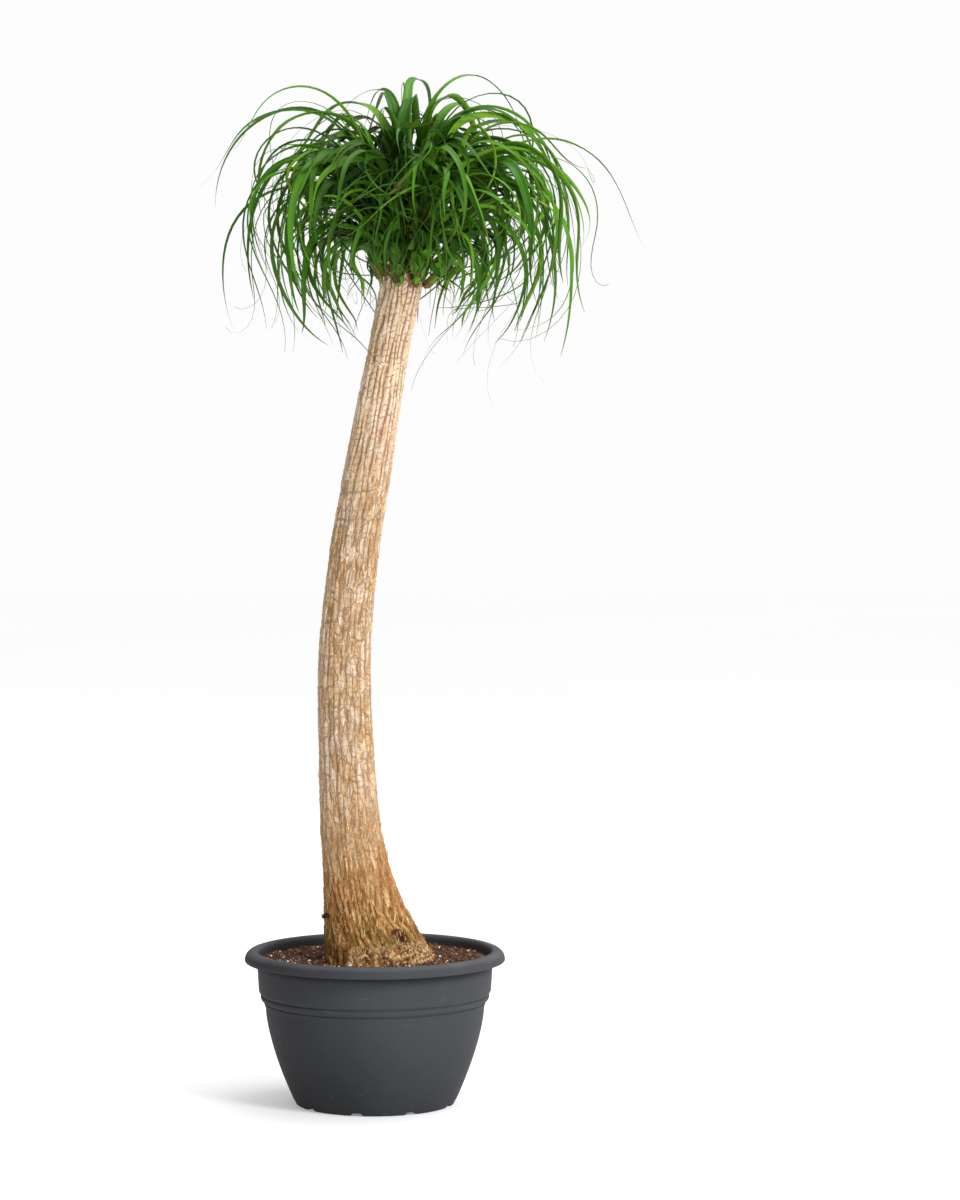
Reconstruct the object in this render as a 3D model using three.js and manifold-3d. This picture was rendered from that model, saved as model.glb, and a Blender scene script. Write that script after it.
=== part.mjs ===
// A ponytail palm in a round nursery bowl. Millimetres, +Z up.
// The origin is on the floor, on the pot's axis. +X is to the right of the front view and -Y is
// towards the viewer. Every piece is its own closed mesh.
import * as THREE from 'three';
import { mergeVertices } from 'three/addons/utils/BufferGeometryUtils.js';
import Module from 'manifold-3d';

const wasm = await Module();
wasm.setup();

// ---- driving dimensions ----

const CLEARANCE = 0.35;              // between pieces that rest in or on each other

// pot
const LIP_RADIUS = 200;              // outermost line of the turned-out lip
const POT_HEIGHT = 236;
const WALL = 3;
const BAND_RADIUS = 181;             // plain band, just under the lip
const BAND_BOTTOM = 176;
const BOWL_RADIUS = 168;             // top of the bowl, under the shoulder
const BOWL_HEIGHT = 147;
const BOWL_ROUNDNESS = 1.5;          // 1 is a straight cone, more is a rounder bowl
const FOOT_RADIUS = 122.5;
const FOOT_RING_WIDTH = 11;
const CHANNEL_DEPTH = 5;             // between the foot ring and the flat centre of the base
const CENTRE_DISC_RADIUS = 70;
const POT_SIDES = 36;
const NOTCHES = 9;                   // drainage notches in the foot ring
const NOTCH_WIDTH = 16;
const NOTCH_DEPTH = 4;
const FIRST_NOTCH = THREE.MathUtils.degToRad(-102);
const DRAIN_HOLE_RADIUS = 6;
const DRAIN_CIRCLE = 91;             // radius of the circle on which the drain holes lie

// soil
const SOIL_LEVEL = 221;
const SOIL_RELIEF = 3.2;
const SOIL_RINGS = [160, 142, 124, 106, 88];

// trunk: [height, centre x, centre y, radius]
const TRUNK_STATIONS = [
  [96, 0, 0, 34],
  [116, 1, 0, 58],
  [150, 3, 0, 77],
  [190, 5, 0, 85],
  [218, 4, 0, 83],
  [244, -2, 0, 77],
  [275, -10, 0, 69],
  [318, -20, 0, 58.5],
  [361, -28, 1, 51],
  [425, -37, 2, 46],
  [530, -43, 4, 42],
  [680, -46, 6, 39.8],
  [830, -33, 5, 37.5],
  [960, -12, 3, 36],
  [1090, 10, 1, 32.5],
  [1160, 23, 0, 31],
  [1230, 37, 0, 31.5],
  [1278, 47, 0, 31],
];
const TRUNK_SIDES = 30;
const TRUNK_RING_GAP = 64;           // between rings on the plain length of the trunk
const FURROWS = 10;
const FURROW_DEPTH = 1.1;
const CUT = new THREE.Vector3(47, 0, 1278);    // centre of the sawn top
const CUT_DISH = 4;

// shoots: azimuth sector by sector round the sawn top, from the front, towards the right. The
// higher firm is, the more of a leaf stands up before it bends.
const SHOOTS = [
  { name: 'shoot_front', out: 44, up: 122, reach: 0.54, firm: 0.6, leafWidth: 1.15, leaves: 20 },
  { name: 'shoot_front_right', out: 64, up: 98, reach: 0.66, firm: 0.5, leafWidth: 1.15, leaves: 21 },
  { name: 'shoot_right', out: 90, up: 112, reach: 0.86, firm: 0.31, leafWidth: 1.05, leaves: 25 },
  { name: 'shoot_back_right', out: 60, up: 154, reach: 0.92, firm: 0.38, leafWidth: 1, leaves: 24 },
  { name: 'shoot_back', out: 46, up: 164, reach: 0.84, firm: 0.46, leafWidth: 1.05, leaves: 24 },
  { name: 'shoot_back_left', out: 66, up: 142, reach: 0.83, firm: 0.35, leafWidth: 1, leaves: 24 },
  { name: 'shoot_left', out: 64, up: 114, reach: 0.77, firm: 0.33, leafWidth: 1.3, leaves: 23 },
];
const FRONT_AZIMUTH = THREE.MathUtils.degToRad(252);
const SECTOR = 2 * Math.PI / SHOOTS.length;
const SECTOR_MARGIN = 1;             // kept free on each side of the sector's edges
const STEM_START = { out: 28, up: -26 };
const STEM_RADIUS = 11;
const STEM_TIP_RADIUS = 7;
const STEM_SIDES = 6;
const FIRST_LEAF = 0.48;             // where the lowest leaf leaves its stem, 0 to 1 along it

// leaves
const GOLDEN_TURN = (3 - Math.sqrt(5)) / 2;     // of a full turn, from one leaf to the next
const LOW_LAUNCH = 30;               // degrees over the level, of the oldest leaf
const STEEP_LAUNCH = 88;             // of the youngest
const INWARD_LEAN = 26;              // degrees, of a young leaf on the stem's inner side
const ROOT_DEPTH = 0.5;              // of the stem's radius, from its middle line
const SHORT_LEAF = 215;
const LONG_LEAF = 540;
const LONGEST_AT = 0.6;              // youth of the longest leaf, 0 is the oldest
const YOUNG_SIDE = 0.55;             // how far on from it a leaf would be a short one again
const SHORTEST_SHARE = 0.46;         // of the length for its age, of a stunted leaf
const LONGEST_SHARE = 1.08;
const NARROW_LEAF = 9;
const BROAD_LEAF = 20;
const KEEL_DEPTH = 1.8;              // thickness of a leaf along its middle, at the root
const KEEL_DEPTH_TIP = 0.8;
const LEAF_PATH_STEPS = 28;
const LEAF_STATIONS = [0, 7, 12, 17, 22];      // steps where a section is placed, then the tip
const AXIS_RADIUS = 14;              // no leaf comes nearer to the crown's axis
const TRUNK_CLEAR_RADIUS = 94;       // nor, below the sawn top, nearer than this

// ---- solids ----

function toSolid(geometry) {
  const bare = geometry.clone();
  bare.deleteAttribute('normal');
  bare.deleteAttribute('uv');
  const merged = mergeVertices(bare, 1e-4);
  return new wasm.Manifold(new wasm.Mesh({
    numProp: 3,
    vertProperties: new Float32Array(merged.attributes.position.array),
    triVerts: new Uint32Array(merged.index.array),
  }));
}

function toGeometry(solid) {
  const mesh = solid.getMesh();
  const geometry = new THREE.BufferGeometry();
  geometry.setAttribute('position', new THREE.BufferAttribute(mesh.vertProperties, 3));
  geometry.setIndex(new THREE.BufferAttribute(mesh.triVerts, 1));
  return geometry;
}

// A closed skin over rings of points that run anticlockwise seen from the far end. An end is
// closed by a fan round its own middle point or round the point given for it, and a plain
// three-sided end by one triangle.
function skin(rings, startPoint, endPoint) {
  const sides = rings[0].length;
  const points = rings.flat();
  const faces = [];
  for (let ring = 0; ring + 1 < rings.length; ring += 1) {
    for (let side = 0; side < sides; side += 1) {
      const next = (side + 1) % sides;
      const a = ring * sides + side;
      const b = ring * sides + next;
      faces.push([a, b, b + sides], [a, b + sides, a + sides]);
    }
  }
  closeEnd(points, faces, 0, rings[0], startPoint, true);
  closeEnd(points, faces, (rings.length - 1) * sides, rings[rings.length - 1], endPoint, false);
  const geometry = new THREE.BufferGeometry().setFromPoints(points);
  geometry.setIndex(faces.flat());
  return geometry;
}

function closeEnd(points, faces, first, ring, point, isStart) {
  const turned = (a, b, c) => (isStart ? [a, c, b] : [a, b, c]);
  if (ring.length === 3 && !point) {
    faces.push(turned(first, first + 1, first + 2));
    return;
  }
  const hub = points.push(point ?? middle(ring)) - 1;
  for (let side = 0; side < ring.length; side += 1) {
    faces.push(turned(hub, first + side, first + (side + 1) % ring.length));
  }
}

function middle(ring) {
  const sum = new THREE.Vector3();
  ring.forEach((point) => sum.add(point));
  return sum.divideScalar(ring.length);
}

// A number from 0 to 1 that is evenly spread over the leaves, with its own sequence a channel.
const ROOTS = [2, 3, 5, 7, 11, 13, 17, 19, 23].map(Math.sqrt);
function spread(index, channel) {
  return (0.37 * (channel + 1) + (index + 1) * ROOTS[channel]) % 1;
}

const { lerp, clamp, smoothstep } = THREE.MathUtils;

// ---- pot ----

function bowlRadius(height) {
  const rise = 1 - (1 - height / BOWL_HEIGHT) ** BOWL_ROUNDNESS;
  return FOOT_RADIUS + (BOWL_RADIUS - FOOT_RADIUS) * rise;
}

const INNER_FLOOR = CHANNEL_DEPTH + WALL;
const INNER_BOWL_HEIGHTS = [INNER_FLOOR, 40, 75, 112];

function innerWall(inset) {
  const bowl = INNER_BOWL_HEIGHTS.map((height) => [bowlRadius(height) - WALL - inset, height]);
  return [
    ...bowl,
    [BOWL_RADIUS - WALL - inset, BOWL_HEIGHT + 2],
    [BOWL_RADIUS - 1 - inset, BOWL_HEIGHT + 11],
    [BAND_RADIUS - 9 - inset, BAND_BOTTOM - 4],
    [BAND_RADIUS - 5.5 - inset, BAND_BOTTOM + 2],
    [BAND_RADIUS - WALL - inset, POT_HEIGHT - 22],
  ];
}

function lathe(profile, sides) {
  return new THREE.LatheGeometry(profile.map(([r, z]) => new THREE.Vector2(r, z)), sides)
    .rotateX(Math.PI / 2);
}

function buildPot() {
  const ringInside = FOOT_RADIUS - FOOT_RING_WIDTH;
  const bowlSteps = 5;
  const bowl = [];
  for (let step = 0; step <= bowlSteps; step += 1) {
    const height = BOWL_HEIGHT * step / bowlSteps;
    bowl.push([bowlRadius(height), height]);
  }
  const profile = [
    [0, 0],
    [CENTRE_DISC_RADIUS, 0],
    [CENTRE_DISC_RADIUS + 4, CHANNEL_DEPTH],
    [ringInside - 3, CHANNEL_DEPTH],
    [ringInside, 0],
    ...bowl,
    [BOWL_RADIUS + 3, BOWL_HEIGHT + 7],            // step and lower groove
    [BOWL_RADIUS + 2, BOWL_HEIGHT + 10],
    [BOWL_RADIUS + 6.5, BOWL_HEIGHT + 13],         // ridge
    [BOWL_RADIUS + 7.5, BOWL_HEIGHT + 19],
    [BOWL_RADIUS + 6.5, BOWL_HEIGHT + 22],         // upper groove
    [BOWL_RADIUS + 10.5, BAND_BOTTOM - 3],
    [BAND_RADIUS, POT_HEIGHT - 17],
    [LIP_RADIUS - 3, POT_HEIGHT - 17],             // turned-out lip
    [LIP_RADIUS, POT_HEIGHT - 14],
    [LIP_RADIUS - 2.5, POT_HEIGHT - 6],
    [LIP_RADIUS - 9, POT_HEIGHT],
    [LIP_RADIUS - 19, POT_HEIGHT],
    [LIP_RADIUS - 21.5, POT_HEIGHT - 6],
    ...innerWall(0).reverse(),
    [CENTRE_DISC_RADIUS + 2, INNER_FLOOR],
    [CENTRE_DISC_RADIUS - 3, WALL],
    [0, WALL],
  ];
  const cutters = [];
  for (let notch = 0; notch < NOTCHES; notch += 1) {
    const azimuth = FIRST_NOTCH + notch * 2 * Math.PI / NOTCHES;
    const box = new THREE.BoxGeometry(2 * FOOT_RING_WIDTH, NOTCH_WIDTH, 2 * NOTCH_DEPTH)
      .translate(FOOT_RADIUS - FOOT_RING_WIDTH / 2, 0, 0)
      .rotateZ(azimuth);
    const drill = new THREE.CylinderGeometry(DRAIN_HOLE_RADIUS, DRAIN_HOLE_RADIUS, 4 * WALL, 8)
      .rotateX(Math.PI / 2)
      .translate(DRAIN_CIRCLE, 0, CHANNEL_DEPTH + WALL / 2)
      .rotateZ(azimuth);
    cutters.push(toSolid(box), toSolid(drill));
  }
  return toSolid(lathe(profile, POT_SIDES)).subtract(wasm.Manifold.union(cutters));
}

// ---- trunk ----

function trunkAt(height) {
  const last = TRUNK_STATIONS.length - 1;
  let i = TRUNK_STATIONS.findIndex((station) => station[0] >= height);
  i = clamp(i < 0 ? last : i, 1, last);
  const low = TRUNK_STATIONS[i - 1];
  const high = TRUNK_STATIONS[i];
  const before = TRUNK_STATIONS[Math.max(i - 2, 0)];
  const after = TRUNK_STATIONS[Math.min(i + 1, last)];
  const span = high[0] - low[0];
  const t = clamp((height - low[0]) / span, 0, 1);
  const values = [1, 2, 3].map((k) => {
    const slopeLow = (high[k] - before[k]) / (high[0] - before[0]) * span;
    const slopeHigh = (after[k] - low[k]) / (after[0] - low[0]) * span;
    return (2 * t ** 3 - 3 * t ** 2 + 1) * low[k] + (t ** 3 - 2 * t ** 2 + t) * slopeLow
      + (3 * t ** 2 - 2 * t ** 3) * high[k] + (t ** 3 - t ** 2) * slopeHigh;
  });
  return { x: values[0], y: values[1], radius: values[2] };
}

// Furrows wander a little as they climb, and the root crown bulges unevenly.
function barkRelief(azimuth, height) {
  const furrow = Math.cos(FURROWS * azimuth + 1.4 * Math.sin(height / 95));
  const lobes = Math.cos(3 * azimuth + 0.6) + 0.6 * Math.cos(5 * azimuth - 1.1);
  const crown = smoothstep(360 - height, 0, 140);
  return FURROW_DEPTH * furrow + 2.6 * lobes * crown;
}

function trunkRing(height, shrink, grow) {
  const { x, y, radius } = trunkAt(height);
  const ring = [];
  for (let side = 0; side < TRUNK_SIDES; side += 1) {
    const azimuth = 2 * Math.PI * side / TRUNK_SIDES;
    const r = radius + barkRelief(azimuth, height) - shrink + grow;
    ring.push(new THREE.Vector3(x + r * Math.cos(azimuth), y + r * Math.sin(azimuth), height));
  }
  return ring;
}

function trunkSkin(grow) {
  const heights = [96, 116, 150, 190, 218, 242, 268, 300, 340];
  const plain = Math.round((CUT.z - 12 - 390) / TRUNK_RING_GAP);
  for (let step = 0; step <= plain; step += 1) {
    heights.push(lerp(390, CUT.z - 12, step / plain));
  }
  const rings = heights.map((height) => trunkRing(height, 0, grow));
  rings[0].forEach((point) => point.setZ(point.z - grow));
  rings.push(trunkRing(CUT.z - 2, 1.5, grow), trunkRing(CUT.z, 4.5, grow));
  rings[rings.length - 1].forEach((point) => point.setZ(point.z + grow));
  const dish = new THREE.Vector3(CUT.x, CUT.y, CUT.z - CUT_DISH + grow);
  return skin(rings, undefined, dish);
}

// A dead stub on the left of the root crown and a small knob on its right.
function buildTrunk() {
  const stub = new THREE.CylinderGeometry(2.4, 3.6, 30, 7)
    .rotateZ(Math.PI / 2)
    .translate(-69, -14, 292);
  const knob = new THREE.SphereGeometry(6, 8, 6).translate(50, -10, 276);
  return toSolid(trunkSkin(0)).add(toSolid(stub)).add(toSolid(knob));
}

// ---- soil ----

function soilTop(x, y) {
  const swell = Math.sin(x / 19 + 0.7 * Math.sin(y / 23)) * Math.cos(y / 17 + 0.4);
  const crumbs = Math.sin(x / 5.3 + 2 * Math.sin(y / 7.1)) * Math.sin(y / 4.7);
  return SOIL_LEVEL + SOIL_RELIEF * (0.6 * swell + 0.4 * crumbs);
}

function buildSoil() {
  const wall = innerWall(CLEARANCE).filter(([, height]) => height < SOIL_LEVEL);
  const brim = BAND_RADIUS - WALL - CLEARANCE;
  const profile = [
    [0, WALL + CLEARANCE],
    [CENTRE_DISC_RADIUS - 3 - CLEARANCE, WALL + CLEARANCE],
    [CENTRE_DISC_RADIUS + 2 - CLEARANCE, INNER_FLOOR + CLEARANCE],
    ...wall.map(([r, z], row) => [r, row === 0 ? z + CLEARANCE : z]),
    [brim, SOIL_LEVEL],
    ...SOIL_RINGS.map((r) => [r, SOIL_LEVEL]),
    [0, SOIL_LEVEL],
  ];
  const geometry = lathe(profile, POT_SIDES);
  const position = geometry.attributes.position;
  for (let i = 0; i < position.count; i += 1) {
    const x = position.getX(i);
    const y = position.getY(i);
    if (position.getZ(i) > SOIL_LEVEL - 0.01 && Math.hypot(x, y) < brim - 1) {
      position.setZ(i, soilTop(x, y));
    }
  }
  return toSolid(geometry).subtract(toSolid(trunkSkin(CLEARANCE)));
}

// ---- shoots ----

function shootAzimuth(index) {
  return FRONT_AZIMUTH + index * SECTOR;
}

function polar(azimuth, out, up) {
  return new THREE.Vector3(
    CUT.x + out * Math.cos(azimuth), CUT.y + out * Math.sin(azimuth), CUT.z + up);
}

// The stem's middle line, as distance from the crown's axis and height over the sawn top.
function stemLine(shoot, along) {
  const curve = new THREE.QuadraticBezierCurve(
    new THREE.Vector2(STEM_START.out, STEM_START.up),
    new THREE.Vector2(shoot.out * 0.8, STEM_START.up * 0.2),
    new THREE.Vector2(shoot.out, shoot.up));
  return curve.getPoint(along);
}

// The stem swells from its seat on the bark and thins towards the heart.
function stemRadius(along) {
  const swell = 1 - 0.55 * Math.exp(-along / 0.04);
  return swell * lerp(STEM_RADIUS, STEM_TIP_RADIUS, smoothstep(along, 0.3, 1));
}

function buildStem(shoot, azimuth) {
  const across = new THREE.Vector3(-Math.sin(azimuth), Math.cos(azimuth), 0);
  const rings = [0, 0.05, 0.14, 0.4, 0.7, 0.97].map((along) => {
    const radius = stemRadius(along);
    const here = stemLine(shoot, along);
    const ahead = stemLine(shoot, along + 0.01).sub(here).normalize();
    const outward = polar(azimuth, ahead.y, -ahead.x).sub(CUT);
    const ring = [];
    for (let side = 0; side < STEM_SIDES; side += 1) {
      const angle = 2 * Math.PI * side / STEM_SIDES;
      ring.push(polar(azimuth, here.x, here.y)
        .addScaledVector(outward, radius * Math.cos(angle))
        .addScaledVector(across, radius * Math.sin(angle)));
    }
    return ring;
  });
  const tip = stemLine(shoot, 1);
  return skin(rings, undefined, polar(azimuth, tip.x, tip.y + STEM_TIP_RADIUS));
}

// One leaf's path: it leaves its stem at a launch angle, arches over and hangs, and drifts to
// its own side inside the shoot's sector. Old leaves stand low and outside, young ones high and
// all round. Steps hold the middle point, the width and the azimuth.
function leafPath(shoot, shootIndex, leaf, number) {
  const youth = (leaf + 0.5) / shoot.leaves;
  const round = 2 * Math.PI * ((leaf * GOLDEN_TURN + 0.5) % 1 - 0.5) * lerp(0.55, 1, youth);
  const along = lerp(FIRST_LEAF, 0.97, youth);
  const root = stemLine(shoot, along);
  const rootOffset = ROOT_DEPTH * stemRadius(along);
  const launch = lerp(LOW_LAUNCH, STEEP_LAUNCH, youth ** 0.48)
    - INWARD_LEAN * youth ** 2 * Math.cos(round) + 8 * (spread(number, 0) - 0.5);
  const share = lerp(SHORTEST_SHARE, LONGEST_SHARE, spread(number, 1) ** 0.65);
  const length = shoot.reach * lengthAt(youth) * share;
  const stiffness = shoot.firm + 0.15 * spread(number, 2) + 0.22 * youth ** 2;
  const hang = lerp(-94, -138, spread(number, 3));
  const flick = lerp(-30, 42, spread(number, 4));
  const drift = 0.95 * Math.sin(round) * lerp(0.7, 1, spread(number, 5));
  const sway = 0.24 * (spread(number, 6) - 0.5);
  const width = shoot.leafWidth * lerp(NARROW_LEAF, BROAD_LEAF, spread(number, 7) ** 1.5);
  const steps = [];
  let out = root.x + rootOffset * Math.cos(round);
  let up = root.y;
  const startTurn = rootOffset * Math.sin(round) / out;
  for (let step = 0; step <= LEAF_PATH_STEPS; step += 1) {
    const s = step / LEAF_PATH_STEPS;
    const room = out * Math.sin(SECTOR / 2) - SECTOR_MARGIN;
    const taper = (1 - s) ** 0.6 * (1 - 0.7 * Math.exp(-s / 0.06));
    const here = Math.min(width * taper, 1.9 * room);
    const free = SECTOR / 2 - Math.asin((here / 2 + SECTOR_MARGIN) / out);
    const side = drift + sway * Math.sin(2 * Math.PI * (0.8 * s + spread(number, 8)));
    const turn = lerp(startTurn, clamp(side, -1, 1) * free, 1 - Math.exp(-3.2 * s));
    const azimuth = shootAzimuth(shootIndex) + clamp(turn, -free, free);
    steps.push({ azimuth, width: here, point: polar(azimuth, out, up) });
    const ahead = s + 0.5 / LEAF_PATH_STEPS;
    const bent = 1 - Math.exp(-((ahead / stiffness) ** 1.9));
    const tipBend = flick * Math.max(0, (ahead - 0.72) / 0.28) ** 2;
    const pitch = THREE.MathUtils.degToRad(lerp(launch, hang, bent) + tipBend);
    out += length / LEAF_PATH_STEPS * Math.cos(pitch);
    up += length / LEAF_PATH_STEPS * Math.sin(pitch);
    const inner = lerp(AXIS_RADIUS, TRUNK_CLEAR_RADIUS, smoothstep(30 - up, 0, 60));
    out += Math.max(0, inner - out) * 0.35 * smoothstep(s, 0.05, 0.3);
    out = Math.max(out, AXIS_RADIUS);
  }
  return steps;
}

// The longest leaves are neither the oldest nor the youngest.
function lengthAt(youth) {
  const side = youth < LONGEST_AT ? LONGEST_AT : YOUNG_SIDE;
  const peak = 1 - ((youth - LONGEST_AT) / side) ** 2;
  return lerp(SHORT_LEAF, LONG_LEAF, peak);
}

// A leaf is a gutter with a keel under it: two edges and the keel at each station, then the tip.
function buildLeaf(steps) {
  const rings = LEAF_STATIONS.map((station) => {
    const { azimuth, width, point } = steps[station];
    const s = station / LEAF_PATH_STEPS;
    const before = steps[Math.max(station - 1, 0)].point;
    const tangent = steps[station + 1].point.clone().sub(before).normalize();
    const across = new THREE.Vector3(-Math.sin(azimuth), Math.cos(azimuth), 0);
    const under = across.clone().cross(tangent).normalize();
    const depth = lerp(KEEL_DEPTH, KEEL_DEPTH_TIP, s);
    return [
      point.clone().addScaledVector(across, width / 2),
      point.clone().addScaledVector(across, -width / 2),
      point.clone().addScaledVector(under, depth),
    ];
  });
  return skin(rings, undefined, steps[LEAF_PATH_STEPS].point);
}

function buildShoot(index, firstNumber) {
  const shoot = SHOOTS[index];
  const solids = [toSolid(buildStem(shoot, shootAzimuth(index)))];
  for (let leaf = 0; leaf < shoot.leaves; leaf += 1) {
    solids.push(toSolid(buildLeaf(leafPath(shoot, index, leaf, firstNumber + leaf))));
  }
  return wasm.Manifold.union(solids).subtract(toSolid(trunkSkin(CLEARANCE)));
}

// ---- assembly ----

const materials = {
  pot: new THREE.MeshStandardMaterial({ color: 0x45464a, roughness: 0.5, metalness: 0 }),
  soil: new THREE.MeshStandardMaterial({ color: 0x4a3428, roughness: 0.95, metalness: 0 }),
  bark: new THREE.MeshStandardMaterial({ color: 0xc0956a, roughness: 0.85, metalness: 0 }),
  leaf: new THREE.MeshStandardMaterial({ color: 0x46711f, roughness: 0.5, metalness: 0 }),
};

function piece(name, solid, material) {
  const mesh = new THREE.Mesh(toGeometry(solid), materials[material].clone());
  mesh.name = name;
  return mesh;
}

const palm = new THREE.Group();
palm.add(piece('pot', buildPot(), 'pot'));
palm.add(piece('soil', buildSoil(), 'soil'));
palm.add(piece('trunk', buildTrunk(), 'bark'));
let leafNumber = 0;
SHOOTS.forEach((shoot, index) => {
  palm.add(piece(shoot.name, buildShoot(index, leafNumber), 'leaf'));
  leafNumber += shoot.leaves;
});

export default palm;
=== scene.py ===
"""A ponytail palm in a round nursery bowl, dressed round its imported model."""

from math import asin, cos, exp, fmod, hypot, pi, radians, sin, sqrt
from types import SimpleNamespace

import bpy
import numpy as np
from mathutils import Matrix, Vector


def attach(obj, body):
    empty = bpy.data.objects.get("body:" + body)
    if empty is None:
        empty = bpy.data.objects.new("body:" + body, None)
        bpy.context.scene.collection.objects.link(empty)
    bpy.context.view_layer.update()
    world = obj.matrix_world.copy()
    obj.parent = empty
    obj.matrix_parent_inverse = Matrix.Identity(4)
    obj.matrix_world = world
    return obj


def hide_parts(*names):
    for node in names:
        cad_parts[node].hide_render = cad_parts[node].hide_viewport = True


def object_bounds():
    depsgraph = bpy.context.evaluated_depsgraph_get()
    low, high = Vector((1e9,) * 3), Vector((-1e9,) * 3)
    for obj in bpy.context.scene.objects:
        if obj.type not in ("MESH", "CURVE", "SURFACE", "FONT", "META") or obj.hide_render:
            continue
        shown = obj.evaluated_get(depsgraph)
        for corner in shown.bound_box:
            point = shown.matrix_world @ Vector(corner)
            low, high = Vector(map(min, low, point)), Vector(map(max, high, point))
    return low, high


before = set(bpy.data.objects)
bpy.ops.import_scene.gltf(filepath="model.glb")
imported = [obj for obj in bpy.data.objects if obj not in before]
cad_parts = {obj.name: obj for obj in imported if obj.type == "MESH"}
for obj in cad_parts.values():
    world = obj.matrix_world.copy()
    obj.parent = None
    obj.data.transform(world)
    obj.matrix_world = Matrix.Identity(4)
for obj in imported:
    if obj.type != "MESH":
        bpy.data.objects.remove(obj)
cad_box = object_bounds()

MM = 0.001                       # sizes below are in millimetres unless they say otherwise
TAU = 2 * pi

# ---- sizes that follow the solids ----

POT_HEIGHT, WALL, LIP_RADIUS = 236, 3, 200
BAND_RADIUS, BAND_BOTTOM = 181, 176
BOWL_RADIUS, BOWL_HEIGHT, BOWL_ROUNDNESS = 168, 147, 1.5
FOOT_RADIUS, FOOT_RING_WIDTH = 122.5, 11
CHANNEL_DEPTH, CENTRE_DISC_RADIUS = 5, 70
NOTCHES, NOTCH_DEPTH = 9, 4
NOTCH_DEGREES, FIRST_NOTCH_DEGREES = 8, -102       # seen from the pot's axis
DRAIN_HOLE_RADIUS, DRAIN_CIRCLE = 6, 91
SOIL_LEVEL, SOIL_CLEARANCE = 221, 0.35
SOIL_RINGS = 56                  # from the trunk to the pot's wall

# height, centre x, centre y, radius
TRUNK_STATIONS = [
    (96, 0, 0, 34), (116, 1, 0, 58), (150, 3, 0, 77), (190, 5, 0, 85), (218, 4, 0, 83),
    (244, -2, 0, 77), (275, -10, 0, 69), (318, -20, 0, 58.5), (361, -28, 1, 51),
    (425, -37, 2, 46), (530, -43, 4, 42), (680, -46, 6, 39.8), (830, -33, 5, 37.5),
    (960, -12, 3, 36), (1090, 10, 1, 32.5), (1160, 23, 0, 31), (1230, 37, 0, 31.5),
    (1278, 47, 0, 31),
]
CUT = np.array([47.0, 0.0, 1278.0])
GIRTH_RADIUS = 40                # the trunk's radius in its bark's own space
RIBS = 24                        # round the trunk
ROOT_ROPES = 34                  # round the root crown
RUNG_SPACING = 9                 # of the cracks across a rib
SEAM_HEIGHT, SEAM_OFFSET = 920, 22         # one seam below this height and one above it
ROT_PIT = (0.048, -0.054, 0.261)           # this and the next five in metres
ROT_CREVICE = (0.036, -0.062, 0.27)
KNOB = (0.056, -0.012, 0.272)
CROWN_KNOB = (0.018, -0.01, 1.266)
CROWN_SCAR = (0.06, -0.029, 1.268)
DEAD_STUB = (-0.076, -0.024, 0.292)
CLOD_SCALE = 170                 # of the lumps in the mat of roots, a metre
STUB_LENGTH = 24

SHOOTS = [dict(zip(("name", "out", "up", "reach", "firm", "width", "leaves"), row)) for row in (
    ("shoot_front", 44, 122, 0.54, 0.6, 1.15, 20),
    ("shoot_front_right", 64, 98, 0.66, 0.5, 1.15, 21),
    ("shoot_right", 90, 112, 0.86, 0.31, 1.05, 25),
    ("shoot_back_right", 60, 154, 0.92, 0.38, 1, 24),
    ("shoot_back", 46, 164, 0.84, 0.46, 1.05, 24),
    ("shoot_back_left", 66, 142, 0.83, 0.35, 1, 24),
    ("shoot_left", 64, 114, 0.77, 0.33, 1.3, 23),
)]
FRONT_AZIMUTH = radians(252)
SECTOR, SECTOR_MARGIN = TAU / len(SHOOTS), 1
STEM_START = (28, -26)
STEM_END = 0.97                  # the share of its middle line that a stem follows
STEM_RADIUS, STEM_TIP_RADIUS = 11, 7
FIRST_LEAF = 0.48
GOLDEN_TURN = (3 - sqrt(5)) / 2
LOW_LAUNCH, STEEP_LAUNCH, INWARD_LEAN = 30, 88, 26
ROOT_DEPTH = 0.5
SHORT_LEAF, LONG_LEAF, LONGEST_AT, YOUNG_SIDE = 215, 540, 0.6, 0.55
SHORTEST_SHARE, LONGEST_SHARE = 0.46, 1.08
NARROW_LEAF, BROAD_LEAF = 9, 20
AXIS_RADIUS, TRUNK_CLEAR_RADIUS = 14, 94
LEAF_STEPS = 28

# ---- the scene's own leaves ----

RULE = dict(loose=0, size=1, width=1, cross=0, taper=0.75, low=0, lift=0, young=0, curl=0, firm=0)
SPARSE_SHOOTS = ("shoot_left", "shoot_back_left")
# leaves on a full shoot, leaves on a sparse one, and how they stray from the rule
FAMILIES = {
    "fine": (13, 3, dict(loose=0.7, size=1.05, width=0.66, cross=1, taper=1.1)),
    "short": (9, 2, dict(loose=0.7, size=0.5, low=0.5, lift=22, cross=0.8)),
    "upright": (9, 2, dict(loose=0.6, size=0.9, width=1.3, young=0.6, cross=0.5)),
    "curly": (5, 5, dict(loose=1, size=0.8, width=0.5, cross=1, curl=1, taper=1.2)),
    "thread": (10, 10, dict(loose=1, size=1.25, width=0.17, cross=1, curl=0.8, taper=0.4)),
    "broad": (3, 3, dict(loose=0.15, size=0.62, width=1.7, young=0.8)),
    "arching": (0, 9, dict(loose=0.5, size=1.25, width=0.5, cross=0.8, taper=0.9, firm=0.14,
                           lift=-8)),
}
BOX_SHARE, BOX_SPARE = 0.03, 4   # how far a leaf may pass the solids' box
STEM_SHARE = 0.64                # the stem under its sheaths, as a share of the solid's
SHEATHS, SHEATH_STEPS = 22, 7


# ---- numbers ----

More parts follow.
